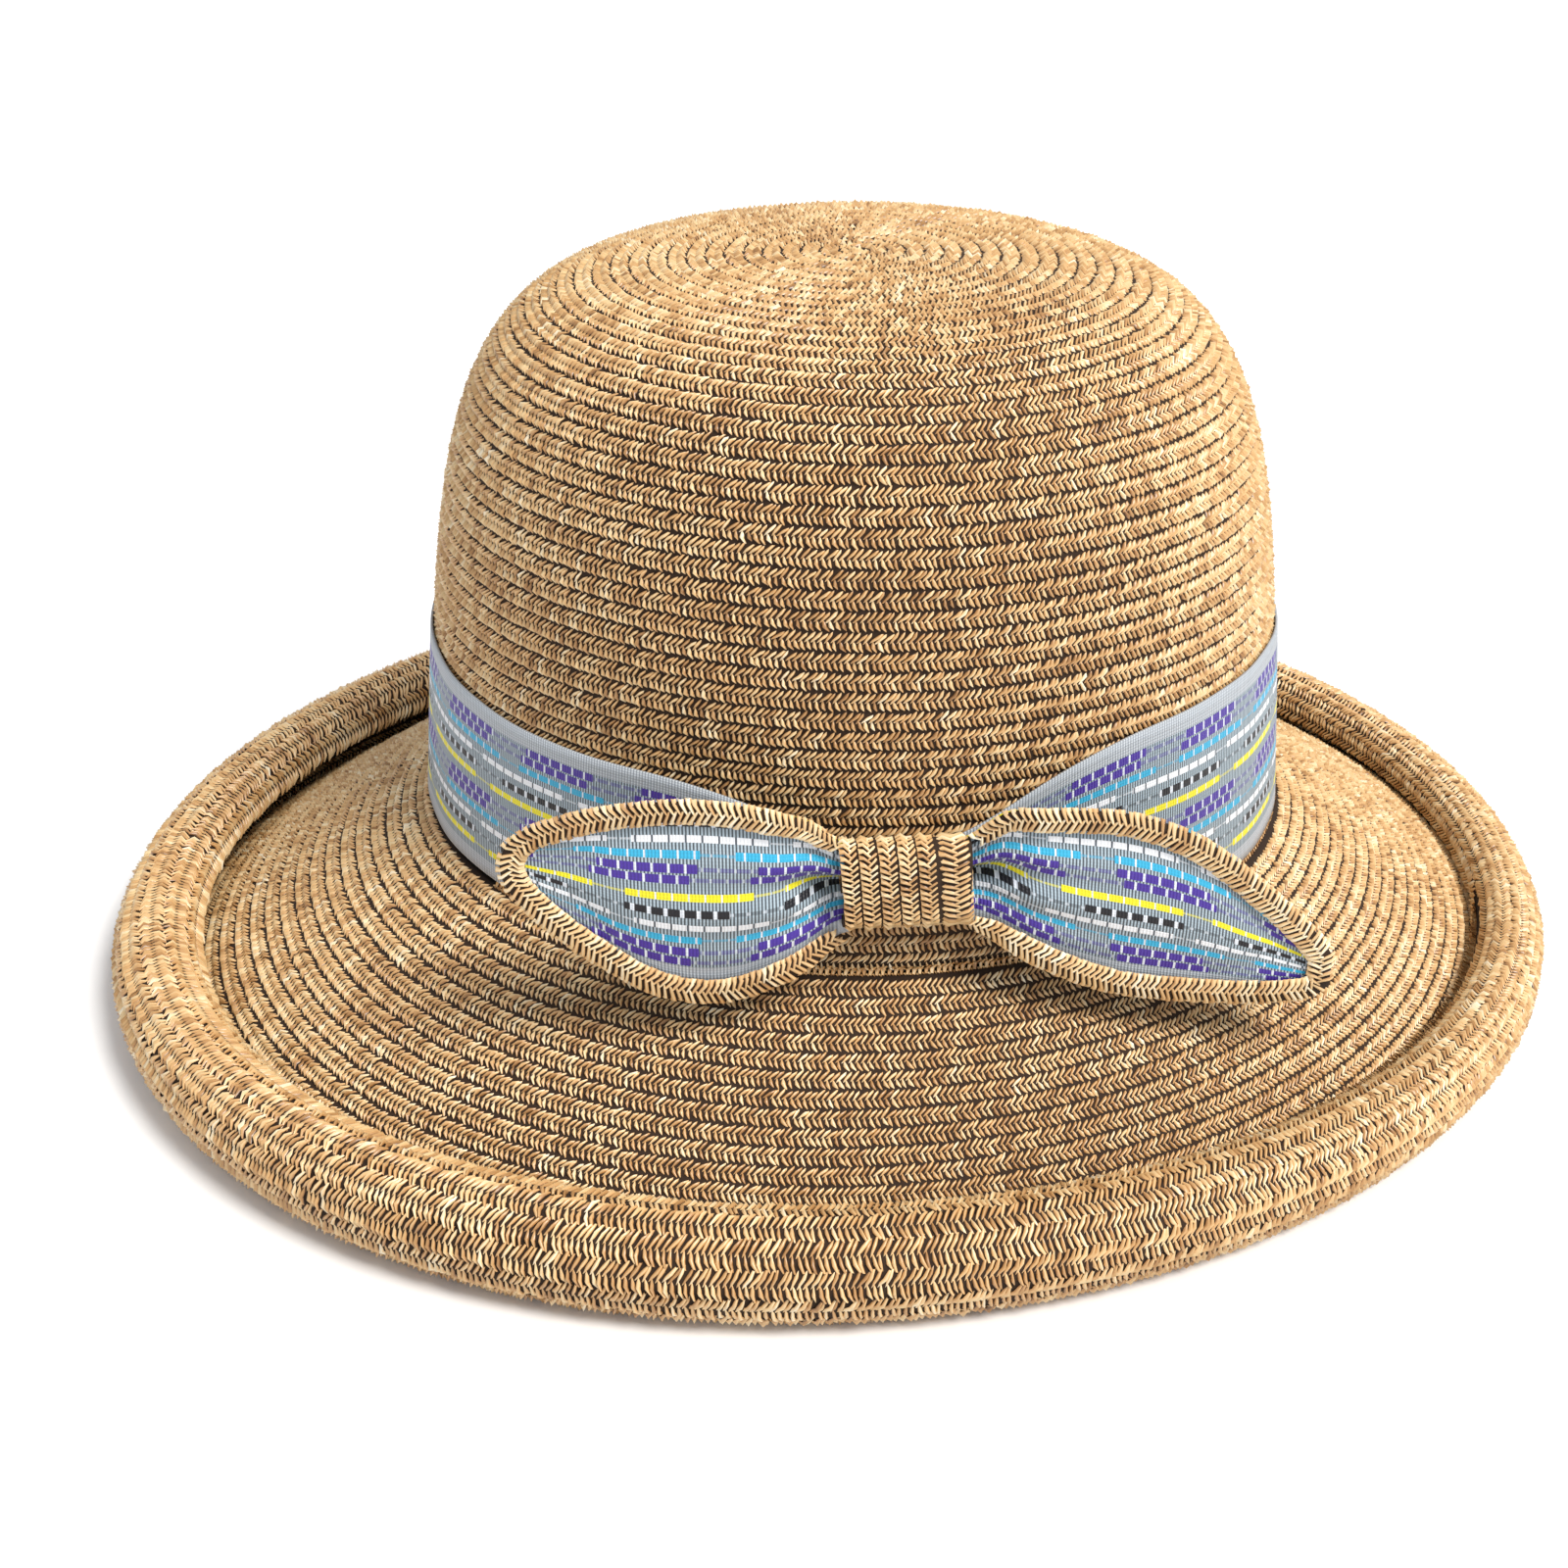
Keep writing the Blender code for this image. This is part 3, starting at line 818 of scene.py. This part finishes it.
def shell(name, surfaces, materials, span):
    """A thin closed wall between an outer and an inner surface, both rows of points round the hat.

    The span is how many stitches lie round the pattern and how many rows down it.
    """
    outer, inner = surfaces
    rows, columns = outer.shape[:2]
    points = np.concatenate([outer.reshape(-1, 3), inner.reshape(-1, 3)]) + crown_axis()
    faces = [face[::-1] for face in grid_faces(rows, columns, around=True)]
    inside = grid_faces(rows, columns, around=True, start=rows * columns)
    rims = []
    for row in (0, rows - 1):
        for j in range(columns):
            k = (j + 1) % columns
            a, b = row * columns + j, row * columns + k
            c, d = rows * columns + b, rows * columns + a
            rims.append((a, b, c, d) if row == 0 else (b, a, d, c))
    thing = plain_mesh(name, points, faces + inside + rims, materials)
    mesh = thing.data
    index = np.zeros(len(mesh.polygons), int)
    index[len(faces) : len(faces) + len(inside)] = 1
    mesh.polygons.foreach_set("material_index", index)
    layer = mesh.uv_layers.new(name="rows")
    for polygon in mesh.polygons:
        for loop in polygon.loop_indices:
            vertex = mesh.loops[loop].vertex_index % (rows * columns)
            column = vertex % columns
            if column == 0 and meets_end(mesh, polygon, columns):
                column = columns
            layer.data[loop].uv = (column / columns * span[0], vertex // columns / (rows - 1) * span[1])
    return thing


def meets_end(mesh, polygon, columns):
    """Whether a face touches the last column, so that its first column counts as one turn further on."""
    return any(mesh.loops[k].vertex_index % columns == columns - 1 for k in polygon.loop_indices)


def rows_of(surface, rows, columns, inset):
    """Rows of points round the hat, a little inside a surface."""
    turns = np.arange(columns) * math.tau / columns
    share, turn = np.meshgrid(np.linspace(0, 1, rows), turns, indexing="ij")
    share = np.clip(share, 1e-3, 1)
    out = outward(surface, turn.ravel(), share.ravel()).reshape(rows, columns, 3)
    return surface(turn, share) - out * inset


def build_crown(hat, kit):
    surface = crown_surface(hat)
    outer = rows_of(surface, 60, 120, hat.braid.rise + 0.1 * MM)
    inner = rows_of(surface, 60, 120, hat.braid.wall)
    rows = surface_length(surface) / hat.braid.row
    thing = shell("crown_backing", (outer, inner), [kit["backing"], kit["flat"]], (430, rows))
    close_tip(thing, outer.shape[1], outer.shape[0])
    finish_piece(thing, "straw_braid", "crown")

    def seen(place, turn):
        low, high = band_edges(hat, turn)
        height = place[:, 2] - hat.brim.joint_height
        return (height > high - UNDER_BAND) | (height < low + UNDER_BAND)

    stitches = spiral(hat, surface, hat.braid.row, first=0.25, seed=1, keep=seen)
    return [thing] + lay_stitches(hat, kit, "crown_braid", stitches, "straw_braid")


def close_tip(thing, columns, rows):
    """Draws the small hole at the crown's tip together, in both of its walls."""
    vertices = thing.data.vertices
    for start in (0, rows * columns):
        ring = range(start, start + columns)
        points = np.array([vertices[k].co[:] for k in ring])
        middle = points.mean(axis=0)
        points = middle + (points - middle) * (0.02, 0.02, 0.0)
        for k, point in zip(ring, points):
            vertices[k].co = point


def build_brim(hat, kit):
    top = brim_top(hat)
    roll = roll_outside(hat)
    under = brim_under(hat)
    columns, slope_rows, roll_rows, under_rows = 160, 30, 30, 24
    sunk = hat.braid.rise + 0.1 * MM
    outside = rows_of(roll, roll_rows, columns, sunk)[::-1]
    beneath = rows_of(under, under_rows, columns, 0.0)
    lower = np.concatenate([beneath[:-1], outside[1:]])
    slope = rows_of(top, slope_rows, columns, sunk)
    turn = np.arange(columns) * math.tau / columns
    middle, radius = roll_section(hat, turn)
    inner = radius - hat.braid.wall
    bent = []
    for angle_now in np.linspace(SLOPE_END, hat.brim.lip, len(lower) - slope_rows + 1)[1:]:
        r = middle + inner * np.cos(angle_now)
        bent.append(np.stack([r * np.cos(turn), r * np.sin(turn), radius + inner * np.sin(angle_now)], -1))
    upper = np.concatenate([slope, np.array(bent)])
    thing = shell("brim_backing", (upper[::-1], lower[::-1]), [kit["backing"], kit["flat"]], (560, 34))
    row = np.arange((len(upper) - 1) * columns) // columns
    index = np.zeros(len(thing.data.polygons), int)
    index[: len(row)] = row < len(upper) - slope_rows
    index[len(row) : 2 * len(row)] = row >= roll_rows - 1
    thing.data.polygons.foreach_set("material_index", index)
    finish_piece(thing, "straw_braid", "brim")
    stitches = spiral(hat, top, hat.braid.row, first=-0.4, seed=2)
    made = [thing] + lay_stitches(hat, kit, "brim_braid", stitches, "straw_braid")
    place, along, out, wide, tone = spiral(hat, roll, hat.braid.row, first=-0.4, seed=3)
    stitches = place, along, out, wide * 1.10, tone
    made += lay_stitches(hat, kit, "roll_braid", stitches, "straw_braid")
    return made


def bow_direction(hat):
    return hat.bow.turn - math.pi / 2


def band_edges(hat, turn):
    """Heights of the band's lower and upper edge above the joint."""
    ribbon = hat.ribbon
    beside = turn - bow_direction(hat)
    facing = np.clip(np.cos(beside), 0, 1)
    low = ribbon.above_joint + ribbon.low_dip * facing**ribbon.low_power
    tilt = 2 * ribbon.tilt * np.sin(beside) * facing
    return low, ribbon.above_joint + ribbon.width + tilt - ribbon.top_dip * facing**ribbon.top_power


def build_hatband(hat, kit):
    ribbon = hat.ribbon
    rows, columns = 22, 300
    turn = np.arange(columns) * math.tau / columns
    near = np.clip(np.cos(turn - bow_direction(hat)), 0, 1)
    low, high = band_edges(hat, turn)
    gather = near**40
    circle = []
    for i in range(rows):
        part = i / (rows - 1)
        height = low + (high - low) * part
        points = crown_at(hat, turn, height / hat.crown.height)
        out = unit(points * [1, 1, 0])
        wave = 0.10 * np.sin(turn * 9 + part * 2.0) + 0.08 * np.sin(turn * 23 + 1.0)
        pleat = 0.35 * gather * np.cos(part * math.tau * 3)
        circle.append(points + out * ((0.75 + wave + pleat) * MM)[:, None])
    circle = np.array(circle)
    faces = grid_faces(rows, columns, around=True)
    thing = plain_mesh("hatband_ribbon", circle.reshape(-1, 3) + crown_axis(), faces, [kit["ribbon"]])
    around = np.linalg.norm(np.diff(np.concatenate([circle[0], circle[0][:1]]), axis=0), axis=1)
    gone = np.concatenate([[0.0], np.cumsum(around)]) / MM
    layer = thing.data.uv_layers.new(name="ribbon")
    for polygon in thing.data.polygons:
        last = meets_end(thing.data, polygon, columns)
        for loop in polygon.loop_indices:
            vertex = thing.data.loops[loop].vertex_index
            column = vertex % columns
            column = columns if column == 0 and last else column
            across = (1 - vertex // columns / (rows - 1)) * ribbon.width / MM
            layer.data[loop].uv = (gone[column], across)
    thicken(thing, ribbon.thickness)
    finish_piece(thing, "woven_ribbon", "hatband")
    return [thing]


def thicken(thing, thickness):
    modifier = thing.modifiers.new("Cloth", "SOLIDIFY")
    modifier.thickness = thickness
    modifier.offset = 0.0


def bow_place(hat, across, up, out):
    """Points of the bow: across to the right, up from the knot's middle and out from the hatband."""
    bow = hat.bow
    turn = bow_direction(hat)
    rise = (bow.above_joint - bow.knot_height / 2) / hat.crown.height
    seat = crown_at(hat, turn, np.array(rise))
    reach = math.hypot(seat[0], seat[1]) + 1.6 * MM + out
    x = reach * math.cos(turn) - across * math.sin(turn)
    y = reach * math.sin(turn) + across * math.cos(turn)
    return np.stack([x, y, hat.brim.joint_height + bow.above_joint + up + 0 * x], -1)


def leaf_depth(hat, across, bend):
    beyond = np.maximum(across - hat.bow.knot_width / 2, 0.0)
    lifted = hat.bow.stand_off * ease(beyond / hat.bow.lift_run)
    return hat.bow.knot_depth / 2 + lifted - beyond**2 / (2 * bend)


def leaf_edges(hat, table, share):
    """The upper and lower edge of a leaf at shares of its length, as smooth curves through its table."""
    table = np.array(table)
    edges = []
    for column in (1, 2):
        slopes = np.gradient(table[:, column], table[:, 0])
        i = np.clip(np.searchsorted(table[:, 0], share) - 1, 0, len(table) - 2)
        run = table[i + 1, 0] - table[i, 0]
        t = np.clip((share - table[i, 0]) / run, 0, 1)
        edges.append(
            (2 * t**3 - 3 * t**2 + 1) * table[i, column]
            + (t**3 - 2 * t**2 + t) * run * slopes[i]
            + (3 * t**2 - 2 * t**3) * table[i + 1, column]
            + (t**3 - t**2) * run * slopes[i + 1]
        )
    return edges[0] * hat.bow.leaf_height, edges[1] * hat.bow.leaf_height


def picked_at(at, values):
    """Rows of values at fractions of their indices."""
    indices = np.arange(len(values))
    return np.stack([np.interp(at, indices, column) for column in values.T], -1)


def leaf_outline(hat, table, length_m):
    """The leaf's outline as across and up, from the knot along its top, round its tip and back below."""
    mouth = hat.bow.knot_width / 2 / length_m
    share = mouth + (1 - mouth) * np.sin(np.linspace(0, math.pi / 2, 120))
    top, low = leaf_edges(hat, table, share)
    line = np.concatenate(
        [np.stack([share * length_m, top], -1), np.stack([share[::-1] * length_m, low[::-1]], -1)]
    )
    line = picked_at(walk(line, 0.3 * MM), line)
    for _ in range(30):
        line[1:-1] = (line[:-2] + line[2:]) / 2 * 0.5 + line[1:-1] * 0.5
    return line


def leaf_ribbon(hat, kit, word, side, table, length_m, bend):
    bow = hat.bow
    rows, columns = 60, 41
    start = (bow.knot_width / 2 - 2 * MM) / length_m
    share = start + (1 - 2 * LEAF_HEM / length_m - start) * np.sin(np.linspace(0, math.pi / 2, rows))
    top, low = leaf_edges(hat, table, share)
    top, low = top - LEAF_HEM, low + LEAF_HEM
    across = share * length_m
    place = np.linspace(-1, 1, columns)
    beyond = np.maximum(across - bow.knot_width / 2, 0.0)
    open_share = np.clip((top - low - 2 * hat.braid.edging) / (top - low), 0.02, 1)
    open_share = open_share * ease((length_m - 9 * MM - across) / bow.lift_run) + 0.02
    points = []
    for i in range(rows):
        clear = np.maximum(0.0, 1 - (place / open_share[i]) ** 2)
        puff = bow.puff * open_share[i] * clear**1.2 * ease(beyond[i] / bow.lift_run)
        fade = math.exp(-beyond[i] / bow.fold_fade)
        fold = bow.fold * fade * np.minimum(clear * 1.6, 1) * np.cos(math.tau * (1.9 * place + 0.2))
        mouth = math.exp(-((beyond[i] / bow.mouth_run) ** 2))
        valley = 0.10 - 0.16 * mouth
        deep = -bow.mouth_depth * mouth * np.exp(-(((place - valley) / 0.17) ** 2))
        up = (top[i] + low[i]) / 2 + (top[i] - low[i]) / 2 * place
        folded = puff + fold - abs(bow.fold * fade) * 0.5 + deep
        out = leaf_depth(hat, across[i], bend) - 0.35 * MM + folded
        points.append(bow_place(hat, side * across[i] + 0 * up, up, out))
    points = np.array(points)
    faces = grid_faces(rows, columns)
    thing = plain_mesh(f"{word}_leaf_ribbon", points.reshape(-1, 3) + crown_axis(), faces, [kit["ribbon"]])
    layer = thing.data.uv_layers.new(name="ribbon")
    width = hat.ribbon.width / MM
    for loop in thing.data.loops:
        i, j = divmod(loop.vertex_index, columns)
        layer.data[loop.index].uv = (beyond[i] / MM, 16.3 + place[j] * 0.46 * width)
    thicken(thing, hat.ribbon.thickness)
    finish_piece(thing, "woven_ribbon", f"{word}_bow_leaf")
    return thing


def strip(name, places, along, out, width, thickness, material):
    """A flat closed strip of backing under one row of braid."""
    beside = unit(np.cross(out, along)) * width[:, None] / 2
    below = places - out * thickness
    ring = [places + beside, places - beside, below - beside, below + beside]
    points = np.stack(ring, 1).reshape(-1, 3) + crown_axis()
    faces = grid_faces(len(places), 4, around=True)
    last = (len(places) - 1) * 4
    faces += [(3, 2, 1, 0), (last, last + 1, last + 2, last + 3)]
    return plain_mesh(name, points, faces, [material])


def leaf_braid(hat, kit, word, side, table, length_m, bend):
    """The braid round a leaf: one row of stitches on a strip."""
    line = leaf_outline(hat, table, length_m)
    way = unit(np.gradient(line, axis=0))
    inwards = np.stack([way[:, 1], -way[:, 0]], -1)
    near = np.exp(-np.maximum(line[:, 0] - hat.bow.knot_width / 2, 0.0) / (5 * MM))
    width = hat.braid.edging * (1 - 0.38 * near)
    middle = line + inwards * width[:, None] / 2
    for _ in range(12):
        middle[1:-1] = (middle[:-2] + middle[2:]) / 4 + middle[1:-1] / 2
    depth = leaf_depth(hat, middle[:, 0], bend) + 1.1 * MM
    place = bow_place(hat, side * middle[:, 0], middle[:, 1], depth)
    along = unit(np.gradient(place, axis=0))
    turn = bow_direction(hat)
    face = np.array([math.cos(turn), math.sin(turn), 0.0])
    out = unit(face - (along @ face)[:, None] * along)
    if side > 0:
        place, along, out, width = place[::-1], -along[::-1], out[::-1], width[::-1]
    backing = strip(f"{word}_edging_backing", place, along, out, width * 0.80, 0.9 * MM, kit["backing"])
    finish_piece(backing, "straw_trim", f"{word}_leaf_edging")
    at = walk(place, hat.braid.plait)
    rng = np.random.default_rng(hat.braid.seed + 20 + side)
    picked = [picked_at(at, values) for values in (place, along, out)]
    tone = 0.50 + 0.42 * rng.uniform(0, 1, len(at)) + 0.08 * np.sin(at / 40)
    wide = np.interp(at, np.arange(len(width)), width) * 1.04
    rows = picked[0], unit(picked[1]), unit(picked[2]), wide, tone
    return [backing] + lay_stitches(hat, kit, f"{word}_edging_braid", rows, "straw_trim", plaited=True)


def knot_outline(hat, inset, count=160):
    """The knot's outline as up and out, a rectangle with round corners, at even steps."""
    bow = hat.bow
    half_up, half_out = bow.knot_height / 2 - inset, bow.knot_depth / 2 - inset
    corner = bow.knot_corner - inset * 0.6
    line = []
    for quarter, (side_up, side_out) in enumerate(((1, 1), (-1, 1), (-1, -1), (1, -1))):
        for bend in np.linspace(0, math.pi / 2, 10) + quarter * math.pi / 2:
            up = side_up * (half_up - corner) + corner * math.cos(bend)
            out = side_out * (half_out - corner) + corner * math.sin(bend)
            line.append((up, out))
    line = np.array(line + line[:1])
    gone = np.concatenate([[0.0], np.cumsum(np.linalg.norm(np.diff(line, axis=0), axis=1))])
    at = np.linspace(0, gone[-1], count, endpoint=False)
    return np.stack([np.interp(at, gone, line[:, k]) for k in (0, 1)], -1)


def build_knot(hat, kit):
    bow = hat.bow
    line = knot_outline(hat, hat.braid.rise)
    inner = knot_outline(hat, hat.braid.wall)
    half = bow.knot_width / 2 - 0.6 * MM
    ends = []
    for across, outline in ((-half, line), (half, line), (half, inner), (-half, inner)):
        out = bow.knot_depth / 2 + outline[:, 1]
        ends.append(bow_place(hat, across + 0 * out, outline[:, 0], out))
    points = np.concatenate(ends) + crown_axis()
    count = len(line)
    faces = []
    for i in range(4):
        for j in range(count):
            k = (j + 1) % count
            after = (i + 1) % 4
            faces.append((i * count + j, i * count + k, after * count + k, after * count + j))
    backing = plain_mesh("knot_backing", points, faces, [kit["backing"]])
    finish_piece(backing, "straw_trim", "bow_knot")
    rng = np.random.default_rng(hat.braid.seed + 40)
    parts = []
    turn = bow_direction(hat)
    sideways = np.array([-math.sin(turn), math.cos(turn), 0.0])
    at = walk(line, hat.braid.plait, True)
    up, out_by = picked_at(at, np.concatenate([line, line[:1]]))[::-1].T
    for across, width, lean in KNOT_TURNS:
        place = bow_place(hat, across * MM - 0.08 * up, up, bow.knot_depth / 2 + out_by)
        along = unit(np.roll(place, -1, axis=0) - np.roll(place, 1, axis=0))
        out = unit(np.cross(along, sideways))
        if ((place - place.mean(axis=0)) * out).sum() < 0:
            out = -out
        tone = 0.40 + 0.45 * rng.uniform(0, 1, len(at))
        wide = np.full(len(at), width * MM)
        parts.append((place, along, unit(out + lean * sideways), wide, tone))
    rows = tuple(np.concatenate([part[k] for part in parts]) for k in range(5))
    return [backing] + lay_stitches(hat, kit, "knot_braid", rows, "straw_trim", plaited=True)


def build_bow(hat, kit):
    bow = hat.bow
    made = build_knot(hat, kit)
    for word, side, table, length_m, bend in (
        ("left", -1, LEFT_LEAF, bow.left_length, bow.left_bend),
        ("right", 1, RIGHT_LEAF, bow.right_length, bow.right_bend),
    ):
        made.append(leaf_ribbon(hat, kit, word, side, table, length_m, bend))
        made += leaf_braid(hat, kit, word, side, table, length_m, bend)
    return made


def build_stage(hat):
    """A pale floor, a soft studio light and the photograph's camera."""
    scene = bpy.context.scene
    stage = hat.stage
    half = stage.floor_half
    corners = [(-half, -half, 0), (half, -half, 0), (half, half, 0), (-half, half, 0)]
    material, _, shader = new_material("pale studio paper")
    shader.inputs["Base Color"].default_value = linear("#f4f4f5")
    shader.inputs["Roughness"].default_value = 0.9
    floor = plain_mesh("floor", corners, [(0, 1, 2, 3)], [material])
    world = bpy.data.worlds.new("studio")
    world.use_nodes = True
    background = world.node_tree.nodes["Background"].inputs
    background["Color"].default_value = (0.95, 0.97, 1.0, 1.0)
    background["Strength"].default_value = stage.sky
    scene.world = world
    lamp = bpy.data.lights.new("key", "SUN")
    lamp.energy = stage.sun
    lamp.angle = stage.sun_size
    lamp.color = (1.0, 0.97, 0.92)
    key = bpy.data.objects.new("key", lamp)
    key.rotation_euler = Vector((-0.55, 0.45, -0.95)).to_track_quat("-Z", "Y").to_euler()
    scene.collection.objects.link(key)
    camera = bpy.data.cameras.new("camera")
    camera.lens = stage.lens
    camera.sensor_width = 36.0
    holder = bpy.data.objects.new("camera", camera)
    holder.location = crown_axis() + (stage.camera_side, -stage.camera_back, stage.camera_height)
    holder.rotation_euler = (math.pi / 2 - stage.tilt, 0.0, 0.0)
    scene.collection.objects.link(holder)
    scene.camera = holder
    scene.view_settings.view_transform = "Standard"


def make_kit():
    """The materials, the stitch and the node groups that the pieces share, made once."""
    return {
        "straw": straw_material(),
        "backing": backing_material(),
        "flat": flat_braid_material(),
        "ribbon": ribbon_material(stripe_group()),
        "group": stitch_group(),
        "loop": stitch_shape("loop", LOOP),
        "plait": stitch_shape("plait", PLAIT),
    }


KIT = {}


def shared_kit():
    if not KIT:
        KIT.update(make_kit())
    return KIT


class HAT_OT_crown(bpy.types.Operator):
    """Builds the crown's backing and its braid"""

    bl_idname = "hat.crown"
    bl_label = "Build crown"

    def execute(self, context):
        build_crown(context.scene.straw_hat, shared_kit())
        return {"FINISHED"}


class HAT_OT_brim(bpy.types.Operator):
    """Builds the brim, its rolled edge and their braid"""

    bl_idname = "hat.brim"
    bl_label = "Build brim"

    def execute(self, context):
        build_brim(context.scene.straw_hat, shared_kit())
        return {"FINISHED"}


class HAT_OT_hatband(bpy.types.Operator):
    """Builds the ribbon round the crown"""

    bl_idname = "hat.hatband"
    bl_label = "Build hatband"

    def execute(self, context):
        build_hatband(context.scene.straw_hat, shared_kit())
        return {"FINISHED"}


class HAT_OT_bow(bpy.types.Operator):
    """Builds the knot, the two leaves and the braid round them"""

    bl_idname = "hat.bow"
    bl_label = "Build bow"

    def execute(self, context):
        build_bow(context.scene.straw_hat, shared_kit())
        return {"FINISHED"}


class HAT_OT_stage(bpy.types.Operator):
    """Builds the floor, the lights and the camera"""

    bl_idname = "hat.stage"
    bl_label = "Build stage"

    def execute(self, context):
        build_stage(context.scene.straw_hat)
        return {"FINISHED"}


class HAT_PT_panel(bpy.types.Panel):
    """The hat's settings and its builders"""

    bl_idname = "HAT_PT_panel"
    bl_label = "Straw hat"
    bl_space_type = "VIEW_3D"
    bl_region_type = "UI"
    bl_category = "Straw hat"

    def draw(self, context):
        hat = context.scene.straw_hat
        for title, group, builder in (
            ("Crown", hat.crown, "hat.crown"),
            ("Brim", hat.brim, "hat.brim"),
            ("Braid", hat.braid, None),
            ("Hatband", hat.ribbon, "hat.hatband"),
            ("Bow", hat.bow, "hat.bow"),
            ("Stage", hat.stage, "hat.stage"),
        ):
            box = self.layout.box()
            box.label(text=title)
            for name in group.bl_rna.properties.keys():
                if name not in ("rna_type", "name"):
                    box.prop(group, name)
            if builder:
                box.operator(builder)


CLASSES = (
    CrownSettings,
    BrimSettings,
    BraidSettings,
    RibbonSettings,
    BowSettings,
    StageSettings,
    HatSettings,
    HAT_OT_crown,
    HAT_OT_brim,
    HAT_OT_hatband,
    HAT_OT_bow,
    HAT_OT_stage,
    HAT_PT_panel,
)


def register():
    for cls in CLASSES:
        bpy.utils.register_class(cls)
    bpy.types.Scene.straw_hat = bpy.props.PointerProperty(type=HatSettings)


def unregister():
    del bpy.types.Scene.straw_hat
    for cls in reversed(CLASSES):
        bpy.utils.unregister_class(cls)


def main():
    register()
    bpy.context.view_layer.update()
    bpy.ops.hat.crown()
    bpy.ops.hat.brim()
    bpy.ops.hat.hatband()
    bpy.ops.hat.bow()
    bpy.ops.hat.stage()
    for name in ("loop", "plait"):
        bpy.data.objects.remove(KIT.pop(name))


if __name__ == "__main__":
    main()
